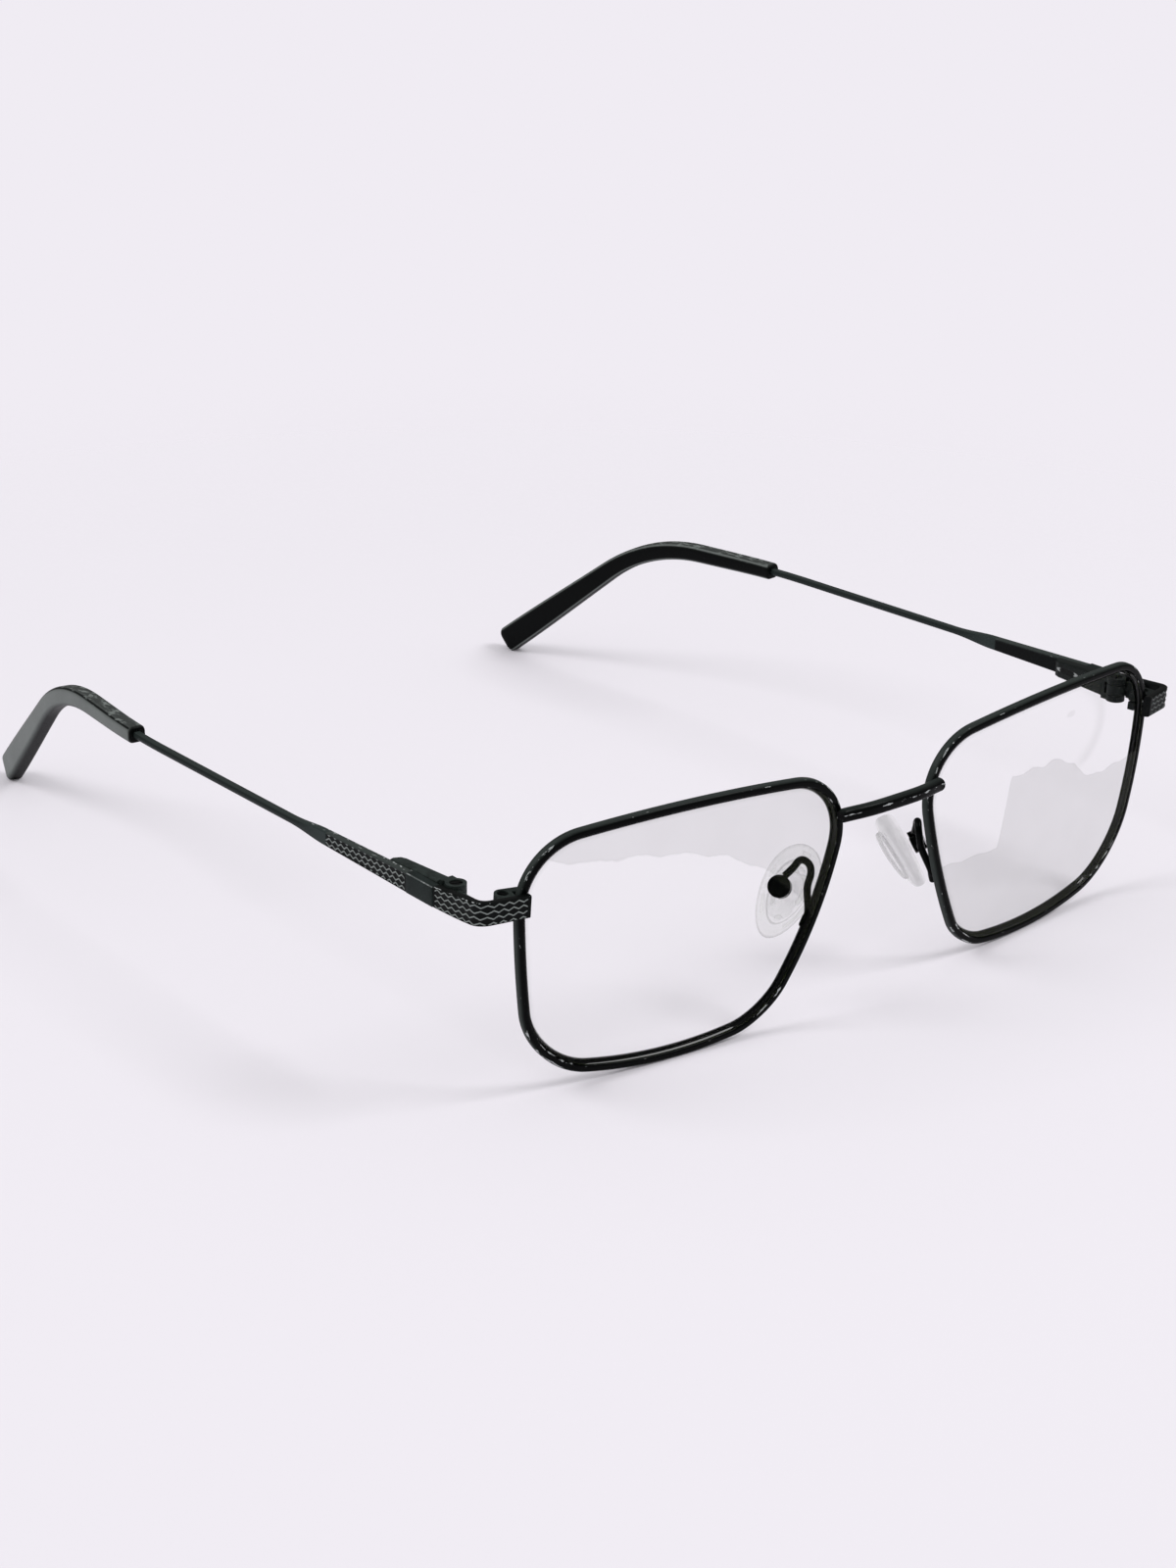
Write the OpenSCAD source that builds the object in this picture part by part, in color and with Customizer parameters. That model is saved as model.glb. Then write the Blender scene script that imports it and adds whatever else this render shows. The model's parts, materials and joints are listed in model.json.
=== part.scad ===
// Full-rim metal eyeglass frame with clear lenses, spring hinges and acetate temple tips.
// It stands open on a table: +X is the wearer's left, the front faces -Y, the temples run to +Y.

/* [Lens shape] */
// Width of the lens box
lens_w = 54; // [48:0.5:60]
// Height of the lens box
lens_h = 39; // [33:0.5:46]
// Distance between the two lens boxes
bridge_w = 18; // [15:0.5:24]
// How far the upper nasal corner lies outside the lens box
nasal_top_out = 1.4; // [0:0.1:2]
// How far the upper nasal corner lies below the top of the lens box
nasal_top_down = 2.3; // [1:0.1:4]
// How far the upper temple corner lies outside the lens box
temple_top_out = 0.3; // [0:0.1:2]
// How far the upper temple corner lies below the top of the lens box
temple_top_down = 1.9; // [1:0.1:4]
// How far the lower temple corner is set in from the side of the lens box
temple_low_in = 3.1; // [1:0.1:6]
// How far the lower temple corner lies above the bottom of the lens box
temple_low_up = 3.4; // [1:0.1:5]
// How far the lower nasal corner is set in from the side of the lens box
nasal_low_in = 11.3; // [8:0.1:13]
// How far the lower nasal corner lies above the bottom of the lens box
nasal_low_up = 1.5; // [0.5:0.1:3]
// Reach of the rounding on each side of the upper nasal corner
round_nasal_top = 10.3; // [7:0.1:12]
// Reach of the rounding on each side of the upper temple corner
round_temple_top = 9.1; // [7:0.1:11]
// Reach of the rounding on each side of the lower temple corner
round_temple_low = 9.1; // [6:0.1:11]
// Reach of the rounding on each side of the lower nasal corner
round_nasal_low = 5.6; // [4:0.1:9]
// How far the top edge bows out
bow_top = 2.2; // [0:0.1:3]
// How far the temple edge bows out
bow_temple = 1.1; // [0:0.1:3]
// How far the bottom edge bows out
bow_bottom = 2.4; // [0:0.1:3]
// How far the nasal edge bows out
bow_nasal = 2.2; // [0:0.1:3]
// Radius of the lens's curved face
base_curve = 205; // [120:5:500]
// Thickness of the lens
lens_t = 1.2; // [1:0.1:2.2]

/* [Rims] */
// Width of the rim wire, seen from the front
rim_w = 1.25; // [1.1:0.05:1.6]
// Depth of the rim wire, front to back
rim_d = 1.35; // [1.3:0.05:2.2]
// Rounding of the rim wire's edges
rim_round = 0.25; // [0.15:0.01:0.3]
// Depth of the lens groove
groove = 0.4; // [0.3:0.02:0.5]
// Play between the lens edge and the groove
lens_play = 0.05; // [0.03:0.01:0.08]
// Angle that each lens turns back towards its temple
wrap = 6.2; // [0:0.2:10]
// Angle that the top of the front leans forward
tilt = 4; // [0:0.2:8]

/* [Bridge] */
// Height of the bridge bar
bridge_h = 2.1; // [1.6:0.1:2.6]
// Depth of the bridge bar
bridge_d = 1.6; // [1.2:0.1:2.2]
// Height of the bridge ends above the lens centre
bridge_rise = 12.2; // [6:0.1:14]
// How far the bridge bows forward in the middle
bridge_bow = 1.1; // [0:0.1:3]
// How far the bridge arches up in the middle
bridge_arch = 0.3; // [0:0.1:3]

/* [End pieces] */
// Thickness of the end piece strip
strip_t = 1.3; // [1:0.1:1.6]
// Height of the end piece strip
strip_h = 3.1; // [2.6:0.1:4]
// Height above the lens centre where the end piece crosses the rim
lock_rise = 10.05; // [8:0.05:11]
// How far the end piece stands outside the rim
endpiece_out = 6.85; // [6:0.05:9]
// How far the end piece reaches back behind the rim
endpiece_back = 10.05; // [9:0.05:14]
// How much lower the end piece is at the hinge than at the rim
endpiece_fall = 0.85; // [0:0.05:1.5]
// How much further the end piece reaches down in its corner
endpiece_swell = 0.4; // [0:0.05:0.6]
// Angle that the front arm of the end piece runs back
strip_splay = 16; // [10:0.5:20]
// Outer radius of the corner of the end piece
corner_r = 2.6; // [1.8:0.1:3.4]

/* [Rim locks] */
// Radius of the lock's round end
lock_r = 1.2; // [1.1:0.05:1.4]
// Gap between the two halves of a lock, and between the ends of the rim
lock_gap = 0.3; // [0.1:0.05:0.5]
// Radius of the lock screw
lock_screw_r = 0.45; // [0.35:0.05:0.55]
// Radius of the lock screw's head
lock_head_r = 0.75; // [0.65:0.05:0.8]

/* [Hinges] */
// Radius of the hinge knuckles
knuckle_r = 1.5; // [1.2:0.05:1.7]
// Height of all three knuckles together
knuckle_h = 3.9; // [3.4:0.1:5]
// Height of the middle knuckle
middle_h = 1.7; // [1.3:0.1:2]
// Radius of the hinge screw
pin_r = 0.6; // [0.45:0.05:0.7]
// Radius of the hinge screw's head
pin_head_r = 0.9; // [0.8:0.05:1]
// Height of a screw head
head_h = 0.45; // [0.35:0.05:0.6]
// How far the hinge screw lies ahead of the line where the temple meets the end piece
pin_ahead = 1.3; // [0.9:0.05:1.5]
// Radial play of a pin in its hole
pin_play = 0.05; // [0.02:0.01:0.08]
// Play between hinge faces that pass each other
face_play = 0.08; // [0.05:0.01:0.12]
// Length of the spring case
case_l = 11; // [10:0.5:14]
// Height of the spring case
case_h = 3.5; // [3:0.1:4.2]
// Wall of the spring case on the side of the head
case_wall = 0.35; // [0.25:0.05:0.5]
// Radius of the slider's shank
shank_r = 0.55; // [0.45:0.05:0.6]
// Radius of the slider's rod
rod_r = 0.25; // [0.2:0.01:0.28]
// Thickness of the spring's wire
spring_wire = 0.2; // [0.12:0.01:0.22]
// Travel of the slider when the temple is pushed outwards
slider_travel = 0.5; // [0.4:0.05:0.8]

/* [Temples] */
// Length of the plain block at the front end of the temple
block_l = 6.3; // [5:0.1:9]
// Height of the plain block
block_h = 3.1; // [2.8:0.1:4]
// How far the plain block stands proud of the end piece
block_proud = 0.15; // [0:0.05:0.3]
// Height of the flat temple where it leaves the block
blade_h = 3.0; // [2.4:0.05:3.6]
// Height of the flat temple at the end of its relief
blade_end_h = 2.1; // [1.5:0.05:2.4]
// Thickness of the flat temple
blade_t = 1.2; // [1:0.05:1.4]
// Length of the relief panel on the temple
panel_l = 20.2; // [12:0.2:30]
// Length over which the temple narrows from the panel to the wire
neck_l = 9; // [6:0.5:14]
// Radius of the temple wire
wire_r = 0.68; // [0.5:0.02:0.8]
// Length from the end piece to the front of the tip
shaft_l = 78.9; // [68:0.1:88]
// Angle that the temple runs inwards
toe_in = 1.6; // [0:0.1:3]
// Angle that the temple runs down
run_down = 0.7; // [0:0.02:2]

/* [Temple tips] */
// Angle that the tip runs down ahead of the bend
tip_down = 1.6; // [0:0.1:3]
// Length of the tip ahead of the bend
ear_l = 28.7; // [22:0.1:34]
// Length of the tip behind the bend
drop_l = 42.5; // [40:0.1:50]
// Length of bend on each side of the bend's corner
bend_reach = 12; // [9:0.5:16]
// Angle that the tip runs inwards ahead of the bend
tip_in = 8.7; // [3:0.1:12]
// Angle that the tip runs inwards behind the bend
drop_in = 13.6; // [6:0.1:20]
// Thickness of the tip
tip_t = 2.9; // [2.5:0.1:3.4]
// Height of the tip at its front
tip_front_h = 2.7; // [2.4:0.1:3.2]
// Height of the tip at the bend
tip_bend_h = 3.2; // [2.8:0.1:4]
// Height of the tip at its end
tip_end_h = 4.9; // [4:0.1:6]
// Length of tip past the end of the wire inside it
wire_stop = 6; // [4:0.5:10]

/* [Nose pads] */
// Length of a nose pad
pad_l = 14.8; // [12:0.1:16]
// Width of a nose pad
pad_w = 7.9; // [6.5:0.1:9]
// Thickness of a nose pad
pad_t = 3.3; // [2.6:0.1:3.6]
// How far the pad box lies outside the nasal edge of the rim
pad_box_out = 2.15; // [1.6:0.05:2.4]
// How far the pad box lies behind the rim
pad_box_back = 5.95; // [5.6:0.05:7]
// Height of the pad box above the lens centre
pad_box_rise = -1; // [-2:0.1:0]
// Angle that the pad turns back, seen from above
pad_splay = 37; // [30:1:48]
// Angle that the pad's top leans to the nose
pad_flare = 30; // [20:1:34]
// Angle that the pad leans forward in its own plane
pad_lean = 17; // [6:1:20]
// Radius of the pad box
box_r = 1.7; // [1.6:0.1:2]
// Thickness of the ear in the pad box
ear_t = 0.9; // [0.7:0.05:1]
// Radius of the pad screw
pad_screw_r = 0.4; // [0.3:0.02:0.45]
// Radius of the pad arm's wire
arm_r = 0.55; // [0.4:0.05:0.6]

/* [Hidden] */
$fn = 48;
eps = 0.01;

// Colours
black = [0.09, 0.1, 0.1];
dark = [0.17, 0.19, 0.19];
steel = [0.55, 0.56, 0.57];
clear = [0.86, 0.9, 0.9, 0.45];

// Small helpers: unit vector, point a share s of the way from a to b, points turned or summed
function unit(v) = v / norm(v);
function mix(a, b, s) = a + (b - a) * s;
function total(list, i = 0) = i >= len(list) ? 0 * list[0] : list[i] + total(list, i + 1);
function direction(plan, down) = [-sin(plan) * cos(down), cos(plan) * cos(down), -sin(down)];

// Rectangle of w by h with rounded corners, three points a corner, counter-clockwise from +x
function rounded(w, h, r) = [for (c = [0:3], a = [0, 45, 90])
    let (sx = c == 0 || c == 3 ? 1 : -1, sy = c < 2 ? 1 : -1)
    [sx * (w / 2 - r) + r * cos(90 * c + a), sy * (h / 2 - r) + r * sin(90 * c + a)]];

// Closed solid through a stack of rings, each with the same number of points,
// counter-clockwise about the way that the stack runs
module ring_solid(rings) {
    n = len(rings[0]);
    last = (len(rings) - 1) * n;
    start = len(rings) * n;
    points = concat([for (ring = rings, p = ring) p],
        [total(rings[0]) / n, total(rings[len(rings) - 1]) / n]);
    sides = [for (k = [0:len(rings) - 2], i = [0:n - 1])
        let (a = k * n + i, b = k * n + (i + 1) % n) each [[a, a + n, b + n], [a, b + n, b]]];
    caps = [for (i = [0:n - 1]) each [[start, i, (i + 1) % n], [start + 1, last + (i + 1) % n, last + i]]];
    polyhedron(points = points, faces = concat(sides, caps), convexity = 8);
}

// Ring of a flat section laid square to a path at p that runs along t, with up the section's +y
function placed(section, p, t, up = [0, 0, 1]) =
    let (side = unit(cross(up, t)), top = cross(t, side))
    [for (q = section) p + side * q.x + top * q.y];

// Smooth curve through points: the point a share s of the way from point i to the next
function through(pts, i, s) =
    let (a = pts[max(i - 1, 0)], b = pts[i], c = pts[i + 1], d = pts[min(i + 2, len(pts) - 1)])
    0.5 * (2 * b + (c - a) * s + (2 * a - 5 * b + 4 * c - d) * s * s + (3 * b - a - 3 * c + d) * s * s * s);
function smooth(pts, steps) = concat(
    [for (i = [0:len(pts) - 2], k = [0:steps - 1]) through(pts, i, k / steps)], [pts[len(pts) - 1]]);
function heading(path, k) = unit(path[min(k + 1, len(path) - 1)] - path[max(k - 1, 0)]);

// The lens outline, u towards the temple and v up, from four corners that run round clockwise
half_w = lens_w / 2;
half_h = lens_h / 2;
corners = [
    [-half_w - nasal_top_out, half_h - nasal_top_down],
    [half_w + temple_top_out, half_h - temple_top_down],
    [half_w - temple_low_in, -half_h + temple_low_up],
    [-half_w + nasal_low_in, -half_h + nasal_low_up]];
rounding = [round_nasal_top, round_temple_top, round_temple_low, round_nasal_low];
bows = [bow_top, bow_temple, bow_bottom, bow_nasal];
pull = 0.58;
function edge(i) = corners[(i + 1) % 4] - corners[i];
function edge_out(i) = [-edge(i).y, edge(i).x] / norm(edge(i));
function on_edge(i, s) = corners[i] + edge(i) * s + edge_out(i) * 4 * bows[i] * s * (1 - s);
function edge_heading(i, s) = unit(edge(i) + edge_out(i) * 4 * bows[i] * (1 - 2 * s));
function edge_start(i) = rounding[i] / norm(edge(i));
function edge_end(i) = 1 - rounding[(i + 1) % 4] / norm(edge(i));
function on_corner(j, s) =
    let (i = (j + 3) % 4, a = on_edge(i, edge_end(i)), d = on_edge(j, edge_start(j)),
        b = a + edge_heading(i, edge_end(i)) * pull * rounding[j],
        c = d - edge_heading(j, edge_start(j)) * pull * rounding[j])
    a * pow(1 - s, 3) + b * 3 * pow(1 - s, 2) * s + c * 3 * (1 - s) * s * s + d * pow(s, 3);
// Eight stretches go round: edge 0, corner 1, edge 1, corner 2, edge 2, corner 3, edge 3, corner 0
function outline(q) =
    let (w = (q + 8) % 8, i = floor(w / 2), s = w - 2 * i)
    s <= 1 ? on_edge(i, mix(edge_start(i), edge_end(i), s)) : on_corner((i + 1) % 4, s - 1);
function outline_out(q) =
    let (t = unit(outline(q + eps) - outline(q - eps))) [-t.y, t.x];
// The outline moved out by e, or in where e is negative
function moved(q, e) = outline(q) + outline_out(q) * e;
// A point of the lens plane on the curved, turned front, depth h behind the lens's middle face
lens_x = lens_w / 2 + bridge_w / 2;
function fronted(p, h) =
    let (sag = (p.x * p.x + p.y * p.y) / (2 * base_curve) + h)
    [lens_x + p.x * cos(wrap) - sag * sin(wrap), p.x * sin(wrap) + sag * cos(wrap), p.y];
// The same point once the front leans forward
function leaned(p) = [p.x, p.y * cos(tilt) - p.z * sin(tilt), p.y * sin(tilt) + p.z * cos(tilt)];

// Rim section, e outwards and h back, with the lens groove on its inner side
bevel_half = min(groove, rim_d / 2 - rim_round - 0.02);
rim_half = rim_w / 2;
rim_section = concat(
    [for (q = rounded(rim_w, rim_d, rim_round)) if (q.x > 0) q],
    [for (q = rounded(rim_w, rim_d, rim_round)) if (q.x < 0 && q.y > 0) q],
    [[-rim_half, bevel_half], [-rim_half + groove, 0], [-rim_half, -bevel_half]],
    [for (q = rounded(rim_w, rim_d, rim_round)) if (q.x < 0 && q.y < 0) q]);
rim_steps = 64;
// The rim is cut where its temple edge starts, at the height of the lock
function height_at(q) = outline(q).y;
function find_q(height, low, high, n = 24) = n == 0 ? (low + high) / 2
    : height_at((low + high) / 2) > height ? find_q(height, (low + high) / 2, high, n - 1)
    : find_q(height, low, (low + high) / 2, n - 1);
lock_q = find_q(lock_rise, 1, 3);
cut_q = lock_gap / 2 / (norm(outline(lock_q + eps) - outline(lock_q - eps)) / (2 * eps));
ring_qs = [for (k = [0:rim_steps])
    lock_q + (k == 0 ? cut_q : k == rim_steps ? 8 - cut_q : 8 * k / rim_steps)];
// The front stands so that the lowest point of the rims touches the table
rim_low = min([for (k = [0:rim_steps], h = [-rim_d / 2 + rim_round, rim_d / 2 - rim_round])
    leaned(fronted(moved(lock_q + 8 * k / rim_steps, rim_half), h)).z]);
lens_z = -rim_low;

// How far the front arm reaches past the rim towards the lens
arm_lap = 0.15;
// Gap left between faces that are brazed together
lock_skin = 0.02;

// Where the lock crosses the rim, before and after the lean
lock_at = fronted(outline(lock_q), 0);
lock_table = leaned(lock_at) + [0, 0, lens_z];
strip_out_x = lock_at.x + endpiece_out;
strip_in_x = strip_out_x - strip_t;
split_y = lock_table.y + endpiece_back;
split_z = lock_table.z - endpiece_fall;
// The front arm's inner face starts at the lens side of the rim's front face
arm_in = fronted(moved(lock_q, -rim_half), -rim_d / 2);
arm_dir = [cos(strip_splay), sin(strip_splay)];
arm_back = [-sin(strip_splay), cos(strip_splay)];
arm_start = [arm_in.x, arm_in.y] - arm_dir * arm_lap - arm_back * (strip_t + 2 * lock_skin);
// Centre of the corner's arcs, on the bisector of the two arms
corner_c = [strip_out_x - corner_r, 0]
    + [0, arm_start.y + (strip_out_x - corner_r - arm_start.x) * tan(strip_splay) + corner_r / cos(strip_splay)];

// The hinge screw's axis, from the outer corner where the temple meets the end piece
split_gap = 0.08;
pin_local = [-strip_t - face_play - knuckle_r, -split_gap - pin_ahead];
hinge_corner = [strip_out_x, split_y + split_gap, split_z];
function turned_in(p) = [p.x * cos(toe_in) - p.y * sin(toe_in), p.x * sin(toe_in) + p.y * cos(toe_in)];
pin_at = [hinge_corner.x, hinge_corner.y] + turned_in(pin_local);
fork_h = (knuckle_h - middle_h) / 2 - face_play;
web_from = knuckle_r + pin_play;
web_l = 0.65;
case_from = web_from + web_l + face_play;
fork_half = 1;
guide_l = 2.6;
shoulder_l = 0.6;
bore_r = shank_r + pin_play;
chamber_from = case_from + guide_l + shoulder_l;
spring_l = case_l - guide_l - shoulder_l - 2.6;
rod_end = chamber_from + spring_l + 2 * face_play;
rod_head_l = 0.5;
// The slider's line lies nearer to the temple than the hinge screw does
slider_in = -pin_local.x - strip_t - bore_r - case_wall;
case_front_in = bore_r + case_wall + 0.45;
case_rear_in = bore_r + case_wall;
case_front_h = case_h;
case_rear_h = case_h - 0.8;

// The temple's middle line: three straight runs joined by two bends
blade_mid = -strip_t / 2;
run_1 = direction(toe_in, run_down);
run_2 = direction(tip_in, tip_down);
tip_bend = 8;
start_at = hinge_corner + concat(turned_in([blade_mid, 0]), [0]);
ear_at = start_at + run_1 * shaft_l;
bend_at = ear_at + run_2 * ear_l;
temple_total = shaft_l + ear_l + drop_l;
wire_end = temple_total - wire_stop;
// Point of the line a distance d from the end piece, for a given fall of the last run
function bent(at, before, after, reach, d) =
    let (s = (d + reach) / (2 * reach), a = at - before * reach, b = at + after * reach)
    a * (1 - s) * (1 - s) + at * 2 * s * (1 - s) + b * s * s;
function temple_at(d, fall) =
    let (run_3 = direction(drop_in, fall), d_ear = d - shaft_l, d_bend = d - shaft_l - ear_l)
    d_ear < -tip_bend ? start_at + run_1 * d
    : d_ear < tip_bend ? bent(ear_at, run_1, run_2, tip_bend, d_ear)
    : d_bend < -bend_reach ? ear_at + run_2 * d_ear
    : d_bend < bend_reach ? bent(bend_at, run_2, run_3, bend_reach, d_bend)
    : bend_at + run_3 * d_bend;
function temple_ring(section, d, fall) =
    placed(section, temple_at(d, fall), unit(temple_at(d + 0.5, fall) - temple_at(d - 0.5, fall)));

// Height and thickness of the tip, rounded at both ends
front_round = 0.5;
end_round = 1.1;
function ease(s) = s * s * (3 - 2 * s);
function tip_height(d) =
    let (s = d - shaft_l, e = temple_total - d)
    s < ear_l ? mix(tip_front_h, tip_bend_h, s / ear_l)
    : mix(tip_bend_h, tip_end_h, ease((s - ear_l) / drop_l));
function end_share(x, r) = x >= r ? 0 : r - sqrt(r * r - (r - x) * (r - x));
function tip_section(d) =
    let (cut = end_share(temple_total - d, end_round) + end_share(d - shaft_l, front_round),
        w = tip_t - 0.8 * cut, h = tip_height(d) - 2 * cut)
    rounded(w, h, min(0.85, 0.4 * w, 0.4 * h));
core_ds = [for (d = [shaft_l:4:shaft_l + ear_l - bend_reach]) d];
bend_ds = [for (k = [0:8]) shaft_l + ear_l - bend_reach + 2 * bend_reach * k / 8];
drop_ds = [for (k = [1:6]) mix(shaft_l + ear_l + bend_reach, wire_end, k / 6)];
inner_ds = concat(core_ds, bend_ds, drop_ds);
outer_ds = concat([shaft_l, shaft_l + 0.15, shaft_l + front_round],
    [for (d = inner_ds) if (d > shaft_l + front_round + 1 && d < wire_end) d],
    [for (x = [wire_stop, wire_stop * 0.6, end_round, end_round * 0.55, end_round * 0.25, end_round * 0.08, 0])
        temple_total - x]);
// The last run falls just so far that the tip's end touches the table
function tip_low(fall) = min([for (d = outer_ds, p = temple_ring(tip_section(d), d, fall)) p.z]);
function next_fall(fall) = fall + tip_low(fall) / (drop_l * cos(fall)) * 180 / PI;
fall_0 = asin((bend_at.z - tip_end_h / 2) / drop_l);
fall = next_fall(next_fall(next_fall(fall_0)));

// Bridge ends on the front faces of both rims, above the nasal edge
bridge_q = find_q_up(bridge_rise, 5, 7.9);
function find_q_up(height, low, high, n = 24) = n == 0 ? (low + high) / 2
    : height_at((low + high) / 2) < height ? find_q_up(height, (low + high) / 2, high, n - 1)
    : find_q_up(height, low, (low + high) / 2, n - 1);
bridge_end = fronted(outline(bridge_q), -rim_d / 2);
bridge_lap = 0.55;
bridge_x = bridge_end.x + bridge_lap;
bridge_y = bridge_end.y - bridge_d / 2 - lock_skin;
function bridge_at(x) =
    let (s = 1 - pow(x / bridge_x, 2)) [x, bridge_y - bridge_bow * ease(s), bridge_rise + bridge_arch * ease(s)];

// Pad arm and box, from the rim's nasal edge
pad_q = find_q_up(pad_box_rise, 5, 7.5);
pad_rim = fronted(outline(pad_q), 0);
pad_at = [pad_rim.x + pad_box_out, pad_rim.y + pad_box_back, pad_box_rise];
foot_low = -5.6;
foot_high = -3.3;
arm_seat = rim_d / 2 + arm_r + lock_skin;
function foot_at(height) = fronted(outline(find_q_up(height, 5, 7.5)), arm_seat);
loop_rise = 4.55;
loop_ahead = 2;
// The pad's own frame at the box: -x to the nose, +z along the pad, +y its width
function pad_turned(p) =
    let (a = [p.x, p.y * cos(pad_lean) - p.z * sin(pad_lean), p.y * sin(pad_lean) + p.z * cos(pad_lean)],
        b = [a.x * cos(pad_flare) - a.z * sin(pad_flare), a.y, a.x * sin(pad_flare) + a.z * cos(pad_flare)])
    [b.x * cos(pad_splay) + b.y * sin(pad_splay), -b.x * sin(pad_splay) + b.y * cos(pad_splay), b.z];
box_back = 1.2;
box_front = 0.75;
arm_meets = pad_turned([0.4, 0, box_r + 0.12]);
arm_points = [
    foot_at(foot_low),
    foot_at((foot_low + foot_high) / 2),
    foot_at(foot_high),
    pad_at + [-2.25, -3.3, 0.6],
    pad_at + [-2.85, -loop_ahead - 1.15, loop_rise - 1.95],
    pad_at + [-2.85, -loop_ahead - 0.75, loop_rise - 0.65],
    pad_at + [-2.3, -loop_ahead, loop_rise],
    pad_at + [-1.9, -1.4, loop_rise - 0.3],
    pad_at + [-1.45, -0.95, 3.2],
    pad_at + arm_meets];
plate_from = box_front + 0.55;
plate_t = 0.7;
plate_l = 8.6;
plate_w = 4.4;
pad_back = plate_from + 0.03;
pad_drop = 0.1;
pad_shift = 0.8;
pad_egg = 0.17;
pad_wedge = 0.2;
ear_r = 0.75;

// Half the depth of the whole, so that the origin is the middle of the space it stands on
front_y = leaned([0, bridge_y - bridge_bow - bridge_d / 2, bridge_rise + bridge_arch]).y;
back_y = max([for (d = outer_ds, p = temple_ring(tip_section(d), d, fall)) p.y]);
mid_y = (front_y + back_y) / 2;

// Placing modules
module stand() { translate([0, -mid_y, 0]) children(); }
module on_side(side) { stand() if (side < 0) mirror([1, 0, 0]) children(); else children(); }
module lean() { translate([0, 0, lens_z]) rotate([tilt, 0, 0]) children(); }
module at_hinge() { translate(hinge_corner) rotate([0, 0, toe_in]) children(); }
module at_pin() { at_hinge() translate([pin_local.x, pin_local.y, 0]) children(); }
module at_pad() {
    lean() translate(pad_at) rotate([0, 0, -pad_splay]) rotate([0, -pad_flare, 0]) rotate([pad_lean, 0, 0]) children();
}
module block(low, high) { translate(low) cube(high - low); }
// Cylinder along +y
module along_y(r, y0, y1) { translate([0, y0, 0]) rotate([-90, 0, 0]) cylinder(r = r, h = y1 - y0); }

module rim(side) {
    color(black) on_side(side) lean()
        ring_solid([for (q = ring_qs) [for (i = [len(rim_section) - 1:-1:0])
            fronted(moved(q, rim_section[i].x), rim_section[i].y)]]);
}

module lens(side) {
    edge = [
        [-rim_half - lens_play, -lens_t / 2], [-rim_half - lens_play, -bevel_half + lens_play],
        [-rim_half + groove - 1.6 * lens_play, 0],
        [-rim_half - lens_play, bevel_half - lens_play], [-rim_half - lens_play, lens_t / 2]];
    qs = [for (k = [0:rim_steps - 1]) lock_q + 8 * k / rim_steps];
    color(clear) on_side(side) lean() ring_solid(concat(
        [for (s = [0.35, 0.7]) [for (q = qs) fronted(moved(q, edge[0].x) * s, -lens_t / 2)]],
        [for (e = edge) [for (q = qs) fronted(moved(q, e.x), e.y)]],
        [for (s = [0.7, 0.35]) [for (q = qs) fronted(moved(q, edge[0].x) * s, lens_t / 2)]]));
}

module bridge() {
    xs = [-1, -0.985, -0.95, -0.88, -0.76, -0.62, -0.46, -0.3, -0.15, 0,
        0.15, 0.3, 0.46, 0.62, 0.76, 0.88, 0.95, 0.985, 1];
    path = [for (x = xs) bridge_at(x * bridge_x)];
    color(black) stand() lean() ring_solid([for (k = [0:len(xs) - 1])
        let (s = abs(xs[k]), shrink = s > 0.99 ? 0.55 : s > 0.96 ? 0.85 : 1)
        placed(rounded(bridge_d, bridge_h * shrink, 0.42 * bridge_d * shrink), path[k], heading(path, k))]);
}

// Plan of the end piece: the front arm, the round corner and the side arm
module endpiece_plan() {
    arm_end = corner_c - arm_back * corner_r;
    polygon([arm_start, arm_end, arm_end + arm_back * strip_t, arm_start + arm_back * strip_t]);
    intersection() {
        difference() {
            translate(corner_c) circle(r = corner_r);
            translate(corner_c) circle(r = corner_r - strip_t);
        }
        polygon([corner_c, corner_c - arm_back * 3 * corner_r,
            corner_c + [3 * corner_r, -3 * corner_r], corner_c + [3 * corner_r, 0]]);
    }
    translate([strip_in_x, corner_c.y]) square([strip_t, 2 * endpiece_back]);
}

// Side view of the end piece, from the front to the hinge: it falls, and is a little taller in the corner
function swell(s) = 4 * s * (1 - s) * (1 + 0.8 * (1 - s)) / 1.4;
module endpiece_side() {
    steps = 12;
    y0 = lock_table.y - 4;
    shares = [for (k = [0:steps]) k / steps];
    polygon(concat(
        [for (s = shares) let (y = mix(y0, split_y, s), z = split_z + endpiece_fall * (split_y - y) / endpiece_back)
            [z - strip_h / 2 - endpiece_swell * swell(s), y]],
        [for (y = [split_y, y0]) [split_z + endpiece_fall * (split_y - y) / endpiece_back + strip_h / 2, y]]));
}

module endpiece(side) {
    color(dark) on_side(side) intersection() {
        lean() translate([0, 0, lock_rise - 4 * strip_h]) linear_extrude(8 * strip_h) endpiece_plan();
        rotate([0, -90, 0]) translate([0, 0, -2 * strip_out_x]) linear_extrude(2 * strip_out_x) endpiece_side();
    }
}

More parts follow.
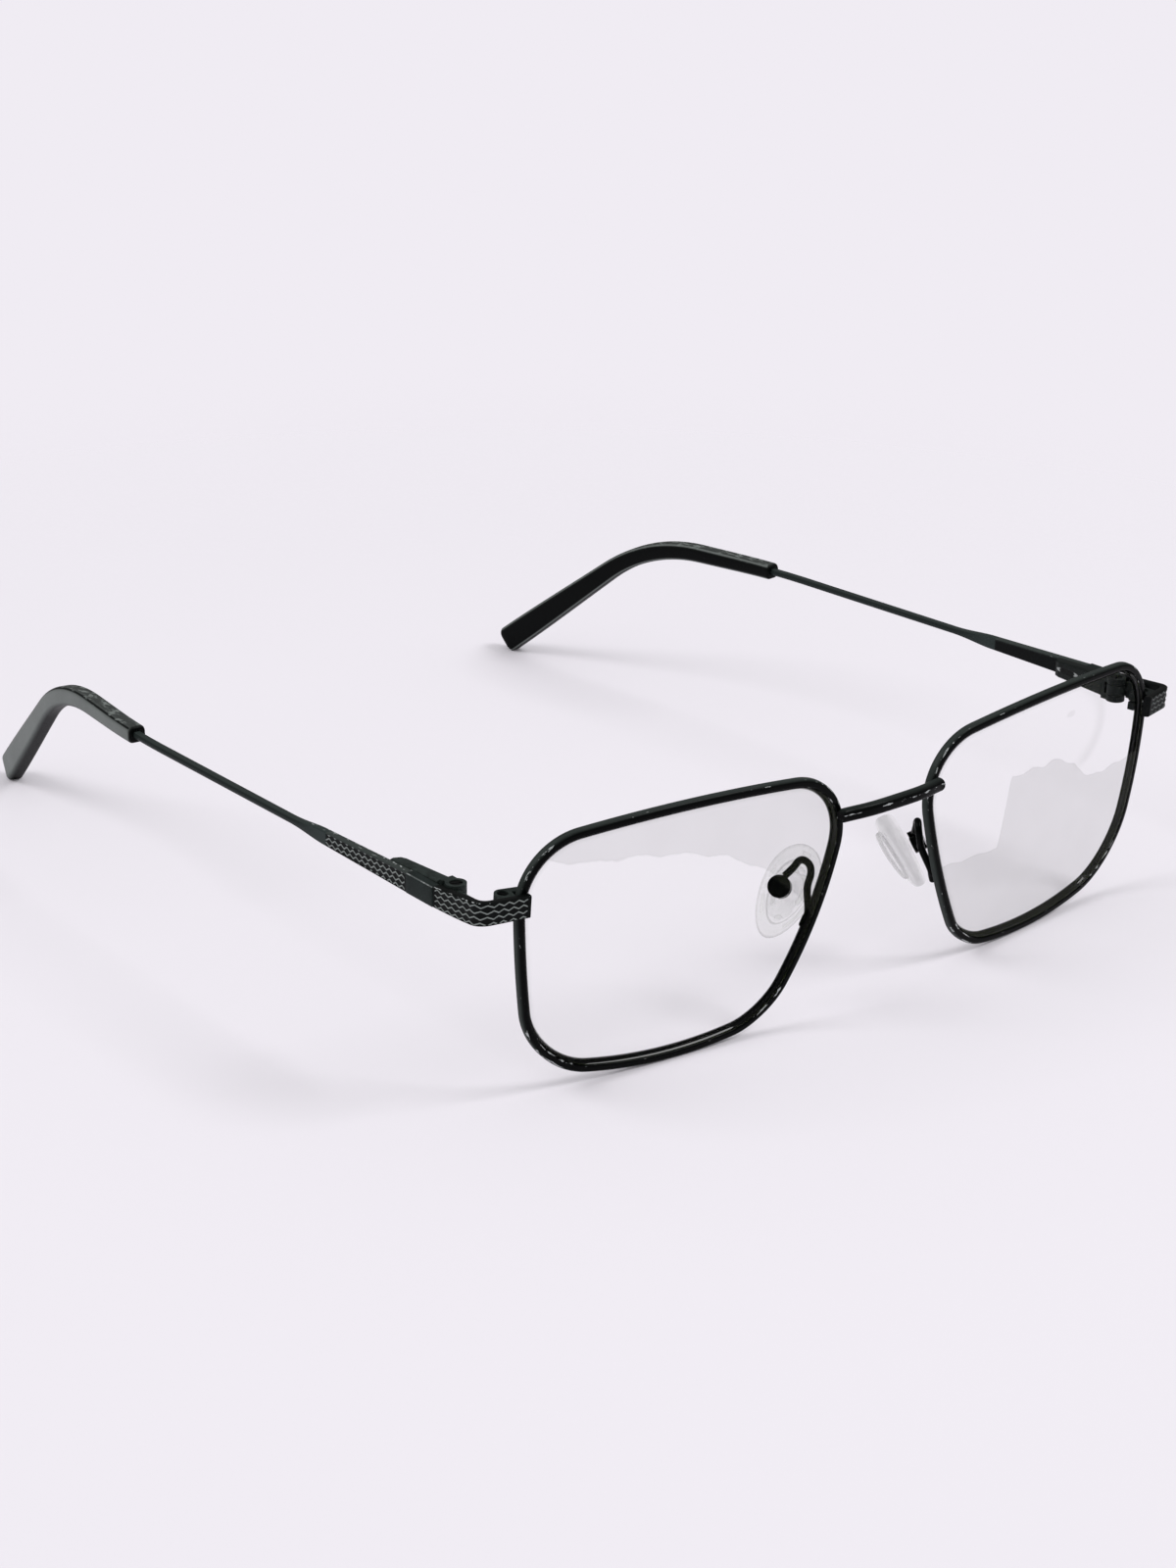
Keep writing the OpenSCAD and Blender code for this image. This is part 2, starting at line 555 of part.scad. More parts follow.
// The lock stands on the rim's outer side, behind the front arm of the end piece, and reaches behind the rim
lock_from = arm_lap + rim_w + 0.3;
lock_hole = lock_from + lock_r + 0.15;
lock_deep = strip_t + lock_r + 0.3;
lock_half_h = strip_h / 2 - 0.17;
module at_lock() {
    lean() translate([arm_start.x, arm_start.y, lock_at.z]) rotate([0, 0, strip_splay]) children();
}
module lock_plan(clear_back) {
    from_y = strip_t + clear_back;
    translate([lock_hole, lock_deep]) circle(r = lock_r);
    translate([lock_from, from_y]) square([lock_hole + lock_r - lock_from, lock_deep - from_y]);
    translate([lock_from, from_y]) square([lock_hole - lock_from, lock_deep + lock_r - from_y]);
    behind = strip_t + rim_d + 0.3;
    translate([arm_lap + 0.3, behind]) square([lock_hole - arm_lap - 0.3, lock_deep + lock_r - behind]);
}
module rim_lock_upper(side) {
    color(dark) on_side(side) at_lock() difference() {
        translate([0, 0, lock_gap / 2]) linear_extrude(lock_half_h - lock_gap / 2) lock_plan(lock_skin);
        translate([lock_hole, lock_deep, -1]) cylinder(r = lock_screw_r + pin_play, h = 9);
        translate([lock_hole, lock_deep, lock_half_h - head_h - 0.25])
            cylinder(r = lock_head_r + pin_play, h = 9);
    }
}
module rim_lock_lower(side) {
    color(dark) on_side(side) at_lock() difference() {
        translate([0, 0, -lock_half_h]) linear_extrude(lock_half_h - lock_gap / 2) lock_plan(face_play);
        translate([lock_hole, lock_deep, -9]) cylinder(r = lock_screw_r + pin_play, h = 10);
    }
}

// Screw with a slotted head, its shank down from z = 0
module slotted_screw(r, head_r, length) {
    difference() {
        union() {
            translate([0, 0, -length]) cylinder(r = r, h = length + eps);
            cylinder(r = head_r, h = head_h);
        }
        block([-2 * head_r, -0.12, head_h * 0.45], [2 * head_r, 0.12, head_h + 1]);
    }
}
module rim_screw(side) {
    seat = lock_half_h - head_h - 0.25 + lock_skin;
    color(steel) on_side(side) at_lock() translate([lock_hole, lock_deep, seat]) rotate([0, 0, 35])
        slotted_screw(lock_screw_r, lock_head_r, seat + lock_half_h - 0.1);
}

module hinge_front(side) {
    plate_t = 0.9;
    plate_l = 3.4;
    color(dark) on_side(side) difference() {
        union() {
            translate([pin_at.x, pin_at.y, split_z - middle_h / 2]) cylinder(r = knuckle_r, h = middle_h);
            block([pin_at.x, pin_at.y - web_from, split_z - middle_h / 2],
                [strip_in_x - lock_skin, pin_at.y + 0.6, split_z + middle_h / 2]);
            block([strip_in_x - plate_t, pin_at.y - web_from - plate_l, split_z - strip_h / 2 + 0.3],
                [strip_in_x - lock_skin, pin_at.y - web_from, split_z + strip_h / 2 - 0.1]);
        }
        translate([pin_at.x, pin_at.y, split_z - 5]) cylinder(r = pin_r + pin_play, h = 10);
    }
}

module hinge_screw(side) {
    seat = knuckle_h / 2 - head_h - 0.15 + lock_skin;
    color(steel) on_side(side) at_pin() translate([0, 0, seat]) rotate([0, 0, 20])
        slotted_screw(pin_r, pin_head_r, seat + knuckle_h / 2 - 0.1);
}

module hinge_slider(side) {
    color(dark) on_side(side) at_pin() difference() {
        union() {
            for (z = [-knuckle_h / 2, knuckle_h / 2 - fork_h]) {
                translate([0, 0, z]) cylinder(r = knuckle_r, h = fork_h);
                block([-fork_half, 0, z], [fork_half, web_from + web_l, z + fork_h]);
            }
            block([-fork_half, web_from, -knuckle_h / 2],
                [slider_in + shank_r, web_from + web_l, knuckle_h / 2]);
            translate([slider_in, 0, 0]) {
                along_y(shank_r, web_from + web_l - eps, case_from + guide_l - face_play);
                along_y(rod_r, case_from + 1, rod_end);
                along_y(shank_r - 0.03, rod_end - eps, rod_end + rod_head_l);
            }
        }
        translate([0, 0, -5]) cylinder(r = pin_r + pin_play, h = 10);
        translate([0, 0, knuckle_h / 2 - head_h - 0.15]) cylinder(r = pin_head_r + pin_play, h = 5);
    }
}

// The spring is drawn at its shortest, with the slider's travel left free ahead of it
module hinge_spring(side) {
    color(steel) on_side(side) at_pin() translate([slider_in, 0, 0]) difference() {
        along_y(rod_r + pin_play + spring_wire, chamber_from + slider_travel + 2 * face_play,
            chamber_from + face_play + spring_l);
        along_y(rod_r + pin_play, chamber_from, chamber_from + spring_l + 1);
    }
}

module spring_case(side) {
    out = -pin_local.x - strip_t - lock_skin;
    rear = case_from + case_l;
    color(dark) on_side(side) at_pin() difference() {
        intersection() {
            translate([0, 0, -case_h / 2]) linear_extrude(case_h)
                polygon([[slider_in - case_front_in + 0.25, case_from], [out, case_from], [out, rear],
                    [out - 0.9, rear], [slider_in - case_rear_in + 0.3, rear - 0.6],
                    [slider_in - case_rear_in, rear - 1.4], [slider_in - case_front_in, case_from + 0.25]]);
            translate([-5, 0, 0]) rotate([0, 90, 0]) linear_extrude(10)
                polygon([[-case_front_h / 2, case_from], [case_front_h / 2, case_from],
                    [case_rear_h / 2, rear], [-case_rear_h / 2, rear]]);
        }
        translate([slider_in, 0, 0]) {
            along_y(bore_r, case_from - 1, case_from + guide_l);
            along_y(rod_r + pin_play, case_from, chamber_from + 1);
            along_y(bore_r, chamber_from, rod_end + rod_head_l + face_play);
        }
    }
}

tang_l = 4;
tang_h = 1.6;
tang_t = 0.7;
module hinge_block(side) {
    color(dark) on_side(side) at_hinge() difference() {
        block([-strip_t, 0, -block_h / 2], [block_proud, block_l, block_h / 2]);
        block([-strip_t / 2 - tang_t / 2 - lock_skin, block_l - tang_l - 0.1, -tang_h / 2 - 0.15],
            [-strip_t / 2 + tang_t / 2 + lock_skin, block_l + 1, tang_h / 2 + 0.05]);
    }
}

module temple(side) {
    neck_at = block_l + panel_l;
    wire = rounded(2 * wire_r, 2 * wire_r, wire_r - eps);
    stations = concat(
        [for (d = [block_l - tang_l, block_l + lock_skin]) [rounded(tang_t, tang_h, 0.1), d]],
        [for (k = [0:3]) let (s = k / 3)
            [rounded(blade_t, mix(blade_h, blade_end_h, s), 0.2), block_l + lock_skin + panel_l * s]],
        [for (k = [1:4]) let (s = k / 4, e = ease(s), w = mix(blade_t, 2 * wire_r, e), h = mix(blade_end_h, 2 * wire_r, e))
            [rounded(w, h, mix(0.2, wire_r - eps, e)), neck_at + neck_l * s]],
        [for (s = [0.33, 0.66]) [wire, mix(neck_at + neck_l, shaft_l, s)]],
        [for (d = inner_ds) [wire, d]]);
    color(dark) on_side(side) ring_solid([for (st = stations) temple_ring(st[0], st[1], fall)]);
}

module temple_tip(side) {
    hole_r = wire_r + 0.02;
    hole = rounded(2 * hole_r, 2 * hole_r, hole_r - eps);
    color(black) on_side(side) ring_solid(concat(
        [for (k = [len(inner_ds) - 1:-1:0]) temple_ring(hole, inner_ds[k] + (k == len(inner_ds) - 1 ? 0.1 : 0), fall)],
        [for (d = outer_ds) temple_ring(tip_section(d), d, fall)]));
}

module pad_arm(side) {
    path = smooth(arm_points, 4);
    disc = [for (i = [0:7]) arm_r * [cos(45 * i), sin(45 * i)]];
    color(black) on_side(side) lean() ring_solid([for (k = [0:len(path) - 1])
        placed(disc, path[k], heading(path, k), [1, 0.2, 0])]);
}

module pad_box(side) {
    slot = ear_t / 2 + face_play;
    color(black) on_side(side) at_pad() difference() {
        translate([-box_front, 0, 0]) rotate([0, 90, 0]) cylinder(r = box_r, h = box_front + box_back);
        block([-2, -slot, -3], [ear_r + face_play, slot, 3]);
        along_y(pad_screw_r + pin_play, -3, 3);
        along_y(pad_screw_r + 0.25 + pin_play, box_r - 0.55, 3);
    }
}

module pad_screw(side) {
    color(steel) on_side(side) at_pad() difference() {
        union() {
            along_y(pad_screw_r, -box_r + 0.25, box_r - 0.5);
            along_y(pad_screw_r + 0.25, box_r - 0.55 + lock_skin, box_r - 0.2);
        }
        block([-2, box_r - 0.35, -0.1], [2, box_r + 1, 0.1]);
    }
}

// Oval of length l and width w: two round ends joined by straight sides, across x
module oval_plate(l, w, x0, x1) {
    translate([-x1, 0, 0]) rotate([0, 90, 0]) linear_extrude(x1 - x0) union() {
        for (s = [-1, 1]) translate([s * (l - w) / 2, 0]) circle(r = w / 2);
        square([l - w, w], center = true);
    }
}

module pad_insert(side) {
    color(clear) on_side(side) at_pad() difference() {
        union() {
            along_y(ear_r, -ear_t / 2, ear_t / 2);
            block([-plate_from - eps, -ear_t / 2, -ear_r], [0, ear_t / 2, ear_r]);
            translate([0, -pad_shift, -pad_drop]) oval_plate(plate_l, plate_w, plate_from, plate_from + plate_t);
        }
        along_y(pad_screw_r + pin_play, -3, 3);
    }
}

// Size of the pad's outline at each depth from its back: share of the outline, depth
pad_rings = [[0.45, 0], [0.86, 0], [0.96, 0.12], [1, 0.35], [0.985, 0.6], [0.9, 0.82], [0.7, 0.95], [0.4, 0.99]];
module nose_pad(side) {
    color(clear) on_side(side) at_pad() translate([0, -pad_shift, -pad_drop]) difference() {
        ring_solid([for (ring = pad_rings) [for (i = [0:27])
            let (a = -i * 360 / 28)
            [-pad_back - pad_t * ring[1] * (1 + pad_wedge * ring[0] * cos(a)), ring[0] * pad_w / 2 * sin(a) * (1 + pad_egg * cos(a)),
                ring[0] * pad_l / 2 * cos(a)]]]);
        oval_plate(plate_l + 0.1, plate_w + 0.1, pad_back - 1, plate_from + plate_t + 0.05);
    }
}

rim(-1);  // rim_right
rim(1);  // rim_left
bridge();
lens(-1);  // lens_right
lens(1);  // lens_left
endpiece(-1);  // endpiece_right
endpiece(1);  // endpiece_left
rim_lock_upper(-1);  // rim_lock_upper_right
rim_lock_upper(1);  // rim_lock_upper_left
rim_lock_lower(-1);  // rim_lock_lower_right
rim_lock_lower(1);  // rim_lock_lower_left
rim_screw(-1);  // rim_screw_right
rim_screw(1);  // rim_screw_left
pad_arm(-1);  // pad_arm_right
pad_arm(1);  // pad_arm_left
pad_box(-1);  // pad_box_right
pad_box(1);  // pad_box_left
pad_screw(-1);  // pad_screw_right
pad_screw(1);  // pad_screw_left
pad_insert(-1);  // pad_insert_right
pad_insert(1);  // pad_insert_left
nose_pad(-1);  // nose_pad_right
nose_pad(1);  // nose_pad_left
hinge_front(-1);  // hinge_front_right
hinge_front(1);  // hinge_front_left
hinge_screw(-1);  // hinge_screw_right
hinge_screw(1);  // hinge_screw_left
hinge_slider(-1);  // hinge_slider_right
hinge_slider(1);  // hinge_slider_left
hinge_spring(-1);  // hinge_spring_right
hinge_spring(1);  // hinge_spring_left
spring_case(-1);  // spring_case_right
spring_case(1);  // spring_case_left
hinge_block(-1);  // hinge_block_right
hinge_block(1);  // hinge_block_left
temple(-1);  // temple_right
temple(1);  // temple_left
temple_tip(-1);  // temple_tip_right
temple_tip(1);  // temple_tip_left
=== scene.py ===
"""Looks of a full-rim metal eyeglass frame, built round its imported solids.

Smooth surfaces of the same sizes as the solids stand for the pieces that the solids give in flat
facets, and every piece gets a procedural finish. Lengths are in metres, +X is the wearer's left,
the front faces -Y and the temples run to +Y.
"""
import json

import bpy
import numpy as np
from bpy.props import FloatProperty, FloatVectorProperty, PointerProperty
from mathutils import Matrix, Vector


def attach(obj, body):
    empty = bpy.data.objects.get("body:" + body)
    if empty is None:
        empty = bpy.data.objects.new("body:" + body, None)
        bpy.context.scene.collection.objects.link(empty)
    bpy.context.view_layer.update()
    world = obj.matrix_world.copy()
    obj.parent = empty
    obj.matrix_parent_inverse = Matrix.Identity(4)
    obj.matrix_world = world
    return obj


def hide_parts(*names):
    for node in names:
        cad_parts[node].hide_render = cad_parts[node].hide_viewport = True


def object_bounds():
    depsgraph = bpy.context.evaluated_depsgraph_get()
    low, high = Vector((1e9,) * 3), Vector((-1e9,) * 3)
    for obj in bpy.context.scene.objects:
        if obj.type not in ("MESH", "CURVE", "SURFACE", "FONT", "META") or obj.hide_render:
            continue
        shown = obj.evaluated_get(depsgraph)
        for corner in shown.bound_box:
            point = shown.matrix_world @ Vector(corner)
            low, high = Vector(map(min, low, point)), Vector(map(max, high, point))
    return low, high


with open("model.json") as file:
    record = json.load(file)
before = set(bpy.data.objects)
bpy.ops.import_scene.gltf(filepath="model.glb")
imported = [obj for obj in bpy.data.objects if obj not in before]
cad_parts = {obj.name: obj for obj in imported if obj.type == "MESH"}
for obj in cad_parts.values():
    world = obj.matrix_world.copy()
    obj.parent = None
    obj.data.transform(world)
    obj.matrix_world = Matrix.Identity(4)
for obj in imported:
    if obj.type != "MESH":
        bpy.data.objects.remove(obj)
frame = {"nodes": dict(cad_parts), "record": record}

CAD_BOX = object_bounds()

bl_info = {
    "name": "Eyeglass Frame",
    "version": (1, 0, 0),
    "blender": (4, 5, 0),
    "location": "3D Viewport > Sidebar > Eyeglasses",
    "description": "Surfaces, finishes and stage for a full-rim metal eyeglass frame",
    "category": "Object",
}

MM = 0.001
SIDES = {"right": -1, "left": 1}
LINE_COUNT = 4      # wavy lines on a strip
HIGHLIGHT_GAIN = 0.24    # how far a highlight value of 1 lowers the limit past which a painted highlight shows


def length(name, about, size):
    """A length property, its default given in millimetres."""
    return FloatProperty(name=name, description=about, default=size * MM, unit="LENGTH", precision=5)


def angle(name, about, degrees):
    """An angle property, its default given in degrees."""
    return FloatProperty(name=name, description=about, default=np.radians(degrees), subtype="ANGLE")


def share(name, about, value):
    """A property between nothing and one."""
    return FloatProperty(name=name, description=about, default=value, min=0, max=1, subtype="FACTOR")


def colour(name, about, *levels):
    """A colour property, its default given as three screen levels from 0 to 255."""
    screen = np.array(levels) / 255
    linear = np.where(screen <= 0.04045, screen / 12.92, ((screen + 0.055) / 1.055) ** 2.4)
    return FloatVectorProperty(name=name, description=about, default=tuple(linear), size=3, min=0, max=1,
                               subtype="COLOR")


class FrontSizes(bpy.types.PropertyGroup):
    """Sizes of the lenses, rims, bridge and end pieces."""
    lens_w: length("Lens width", "Width of the lens box", 54)
    lens_h: length("Lens height", "Height of the lens box", 39)
    bridge_w: length("Bridge width", "Distance between the two lens boxes", 18)
    nasal_top_out: length("Nasal top out", "Upper nasal corner outside the lens box", 1.4)
    nasal_top_down: length("Nasal top down", "Upper nasal corner below the top", 2.3)
    temple_top_out: length("Temple top out", "Upper temple corner outside the lens box", 0.3)
    temple_top_down: length("Temple top down", "Upper temple corner below the top", 1.9)
    temple_low_in: length("Temple low in", "Lower temple corner in from the side", 3.1)
    temple_low_up: length("Temple low up", "Lower temple corner above the bottom", 3.4)
    nasal_low_in: length("Nasal low in", "Lower nasal corner in from the side", 11.3)
    nasal_low_up: length("Nasal low up", "Lower nasal corner above the bottom", 1.5)
    round_nasal_top: length("Round nasal top", "Reach of the upper nasal rounding", 10.3)
    round_temple_top: length("Round temple top", "Reach of the upper temple rounding", 9.1)
    round_temple_low: length("Round temple low", "Reach of the lower temple rounding", 9.1)
    round_nasal_low: length("Round nasal low", "Reach of the lower nasal rounding", 5.6)
    bow_top: length("Bow of the top", "How far the top edge bows out", 2.2)
    bow_temple: length("Bow of the temple side", "How far the temple edge bows out", 1.1)
    bow_bottom: length("Bow of the bottom", "How far the bottom edge bows out", 2.4)
    bow_nasal: length("Bow of the nasal side", "How far the nasal edge bows out", 2.2)
    base_curve: length("Base curve", "Radius of the lens's curved face", 205)
    lens_t: length("Lens thickness", "Thickness of the lens", 1.2)
    rim_w: length("Rim width", "Width of the rim wire from the front", 1.25)
    rim_d: length("Rim depth", "Depth of the rim wire", 1.35)
    rim_round: length("Rim rounding", "Rounding of the rim wire's edges", 0.42)
    groove: length("Groove", "Depth of the lens groove", 0.4)
    lens_play: length("Lens play", "Play between lens edge and groove", 0.05)
    wrap: angle("Wrap", "Angle that each lens turns back", 6.2)
    tilt: angle("Tilt", "Angle that the top of the front leans forward", 4)
    bridge_h: length("Bridge height", "Height of the bridge bar", 2.1)
    bridge_d: length("Bridge depth", "Depth of the bridge bar", 1.6)
    bridge_rise: length("Bridge rise", "Height of the bridge ends above the lens centre", 12.2)
    bridge_bow: length("Bridge bow", "How far the bridge bows forward", 1.1)
    bridge_arch: length("Bridge arch", "How far the bridge arches up", 0.3)
    strip_t: length("Strip thickness", "Thickness of the end piece strip", 1.3)
    strip_h: length("Strip height", "Height of the end piece strip", 3.1)
    lock_rise: length("Lock rise", "Height where the end piece crosses the rim", 10.05)
    lock_gap: length("Lock gap", "Gap between the ends of the rim", 0.3)
    endpiece_out: length("End piece out", "How far the end piece stands outside the rim", 6.85)
    endpiece_back: length("End piece back", "How far the end piece reaches back", 10.05)
    endpiece_fall: length("End piece fall", "How much lower the end piece is at the hinge", 0.85)
    endpiece_swell: length("End piece swell", "How much further its corner reaches down", 0.4)
    strip_splay: angle("Strip splay", "Angle that the front arm runs back", 16)
    corner_r: length("Corner radius", "Outer radius of the end piece's corner", 2.6)


class TempleSizes(bpy.types.PropertyGroup):
    """Sizes of the hinges, temples and temple tips."""
    knuckle_r: length("Knuckle radius", "Radius of the hinge knuckles", 1.5)
    pin_ahead: length("Pin ahead", "How far the hinge screw lies ahead of the split", 1.3)
    face_play: length("Face play", "Play between hinge faces", 0.08)
    pin_play: length("Pin play", "Radial play of a pin in its hole", 0.05)
    case_l: length("Case length", "Length of the spring case", 11)
    case_h: length("Case height", "Height of the spring case", 3.5)
    case_wall: length("Case wall", "Wall of the case towards the head", 0.35)
    shank_r: length("Shank radius", "Radius of the slider's shank", 0.55)
    rod_r: length("Rod radius", "Radius of the slider's rod", 0.25)
    spring_wire: length("Spring wire", "Thickness of the spring's wire", 0.2)
    slider_travel: length("Slider travel", "Travel of the slider", 0.5)
    block_l: length("Block length", "Length of the plain block", 6.3)
    block_h: length("Block height", "Height of the plain block", 3.1)
    block_proud: length("Block proud", "How far the block stands proud", 0.15)
    blade_h: length("Blade height", "Height of the flat temple at the block", 3)
    blade_end_h: length("Blade end height", "Height of the flat temple at its relief's end", 2.1)
    blade_t: length("Blade thickness", "Thickness of the flat temple", 1.2)
    panel_l: length("Panel length", "Length of the relief panel", 20.2)
    neck_l: length("Neck length", "Length that narrows to the wire", 9)
    wire_r: length("Wire radius", "Radius of the temple wire", 0.68)
    shaft_l: length("Shaft length", "Length from the end piece to the tip", 78.9)
    toe_in: angle("Toe in", "Angle that the temple runs inwards", 1.6)
    run_down: angle("Run down", "Angle that the temple runs down", 0.7)
    tip_down: angle("Tip down", "Angle that the tip runs down ahead of the bend", 1.6)
    tip_fall: angle("Tip fall", "Angle that the tip falls behind the bend", 38.3533)
    ear_l: length("Ear length", "Length of the tip ahead of the bend", 28.7)
    drop_l: length("Drop length", "Length of the tip behind the bend", 42.5)
    bend_reach: length("Bend reach", "Length of bend on each side of its corner", 12)
    tip_in: angle("Tip in", "Angle that the tip runs inwards ahead of the bend", 8.7)
    drop_in: angle("Drop in", "Angle that the tip runs inwards behind the bend", 13.6)
    tip_t: length("Tip thickness", "Thickness of the tip", 2.9)
    tip_front_h: length("Tip front height", "Height of the tip at its front", 2.7)
    tip_bend_h: length("Tip bend height", "Height of the tip at the bend", 3.2)
    tip_end_h: length("Tip end height", "Height of the tip at its end", 4.9)
    wire_stop: length("Wire stop", "Length of tip past the wire's end", 6)
    wave_depth: length("Relief depth", "Height of the wavy lines", 0.11)
    wave_length: length("Temple wave", "Length of one wave on the temple", 1.48)
    wave_gap: length("Temple line gap", "Distance between the wavy lines on the temple", 0.8)
    corner_wave: length("End piece wave", "Length of one wave on the end piece", 1.43)
    corner_gap: length("End piece line gap", "Distance between the wavy lines on the end piece", 0.76)


class PadSizes(bpy.types.PropertyGroup):
    """Sizes of the nose pads and their arms."""
    pad_l: length("Pad length", "Length of a nose pad", 14.8)
    pad_w: length("Pad width", "Width of a nose pad", 7.9)
    pad_t: length("Pad thickness", "Thickness of a nose pad", 3.3)
    pad_box_out: length("Box out", "Pad box outside the nasal edge", 2.15)
    pad_box_back: length("Box back", "Pad box behind the rim", 5.95)
    pad_box_rise: length("Box rise", "Height of the pad box above the lens centre", -1)
    pad_splay: angle("Pad splay", "Angle that the pad turns back", 37)
    pad_flare: angle("Pad flare", "Angle that the pad's top leans to the nose", 30)
    pad_lean: angle("Pad lean", "Angle that the pad leans forward in its plane", 17)
    box_r: length("Box radius", "Radius of the pad box", 1.7)
    arm_r: length("Arm radius", "Radius of the pad arm's wire", 0.55)


class Colours(bpy.types.PropertyGroup):
    """Colours and gloss of the finishes and the stage."""
    gloss_black: colour("Gloss black", "Paint of the rims, bridge and pad arms", 5, 6, 6)
    # painted sheen: the grey that outward and upper faces are painted with, standing for reflected light
    sheen_grey: colour("Worn black", "Paint on the outer faces, gone dull", 62, 68, 66)
    # painted highlight: the pale colour of glints and highlight lines on edges
    highlight_pale: colour("Bare metal", "Metal where the paint has chipped", 176, 180, 180)
    matte_black: colour("Matte black", "Ground of the end pieces and temples", 9, 12, 12)
    relief_grey: colour("Relief grey", "Tops of the wavy lines", 140, 146, 144)
    satin_grey: colour("Satin grey", "Plain neck of the temple", 46, 54, 53)
    block_grey: colour("Block grey", "Plain block at the front of the temple", 33, 40, 39)
    hinge_grey: colour("Hinge grey", "Hinge parts, spring case and rim locks", 42, 49, 47)
    screw_dark: colour("Screw", "Screws", 16, 18, 18)
    steel: colour("Steel", "Springs", 150, 150, 152)
    acetate: colour("Acetate", "Temple tips", 5, 7, 7)
    # painted sheen: grey of the tips' outer side and top, and of their highlight lines and flecks
    acetate_sheen: colour("Dull acetate", "Outer side of the temple tips", 112, 117, 115)
    silicone: colour("Silicone", "Nose pads", 224, 225, 224)
    # grey of the faint zones on the lenses, and the lens's own colour
    grey_zone: colour("Film", "Faint film on the lenses", 44, 50, 28)
    backdrop: colour("Backdrop", "Colour behind the object", 240, 236, 243)
    floor: colour("Floor", "Colour of the floor", 240, 236, 243)
    gloss: share("Gloss", "Clear coat of the black paint", 0.02)


def unit(v):
    """Vectors of length one."""
    return v / np.linalg.norm(v, axis=-1, keepdims=True)


def mix(a, b, s):
    """The value a share s of the way from a to b."""
    return a + (b - a) * s


def ease(s):
    """A smooth step: 3 s squared less 2 s cubed."""
    s = np.clip(s, 0, 1)
    return s * s * (3 - 2 * s)


def bell(value, middle, reach):
    """1 at the middle value, falling smoothly to 0 at the reach on either side."""
    return ease(1 - np.abs(value - middle) / reach)


def direction(plan, down):
    """Heading that starts along +Y, turned in by plan and down by down."""
    return np.array([-np.sin(plan) * np.cos(down), np.cos(plan) * np.cos(down), -np.sin(down)])


def smooth_path(points, steps):
    """Catmull-Rom curve: between two points a cubic whose slopes are half the difference of the neighbours."""
    p = np.asarray(points, float)
    p = np.concatenate([p[:1], p, p[-1:]])
    s = np.linspace(0, 1, steps, endpoint=False)[None, :, None]
    a, b, c, d = (p[k:len(p) - 3 + k, None] for k in range(4))
    curve = 0.5 * (2 * b + (c - a) * s + (2 * a - 5 * b + 4 * c - d) * s ** 2
                   + (3 * b - a - 3 * c + d) * s ** 3)
    return np.concatenate([curve.reshape(-1, p.shape[1]), p[-1:]])


def rounded_rings(w, h, r, corner=7):
    """Rounded rectangles, one a row: four quarter circles of radius r about inset corners, anticlockwise."""
    sizes = (np.atleast_1d(np.asarray(v, float)) for v in (w, h, r))
    w, h, r = (v[:, None] for v in np.broadcast_arrays(*sizes))
    quarter = np.linspace(0, np.pi / 2, corner)
    signs = ((1, 1), (-1, 1), (-1, -1), (1, -1))
    return np.concatenate([
        np.stack([sx * (w / 2 - r) + r * np.cos(quarter + k * np.pi / 2),
                  sy * (h / 2 - r) + r * np.sin(quarter + k * np.pi / 2)], -1)
        for k, (sx, sy) in enumerate(signs)], 1)


def round_rings(radius, count):
    """Circles of those radii, one a row: the cosine and sine of the way round."""
    around = np.linspace(0, 2 * np.pi, count, endpoint=False)
    return np.stack([np.cos(around), np.sin(around)], 1) * np.reshape(radius, (-1, 1, 1))


def run_along(line):
    """Distance along a line, at each of its points."""
    return np.concatenate([[0], np.cumsum(np.linalg.norm(np.diff(line, axis=0), axis=1))])


def dome(s):
    """A quarter circle: from 0, steep, at s = 0 to 1, level, at s = 1."""
    return np.sqrt(1 - (1 - np.clip(s, 0, 1)) ** 2)


def swept(path, heading, rings, up=(0, 0, 1)):
    """Rings square to a path: point plus side times x plus top times y, side being up cross heading."""
    side = unit(np.cross(np.broadcast_to(up, heading.shape), heading))
    top = np.cross(heading, side)
    return path[:, None] + side[:, None] * rings[..., 0:1] + top[:, None] * rings[..., 1:2]


def rotation(axis, turn):
    """Matrix of a turn about the axis numbered 0, 1 or 2, by the right-hand rule."""
    c, s = np.cos(turn), np.sin(turn)
    i, j = [(1, 2), (2, 0), (0, 1)][axis]
    m = np.eye(3)
    m[i, i], m[i, j], m[j, i], m[j, j] = c, -s, s, c
    return m


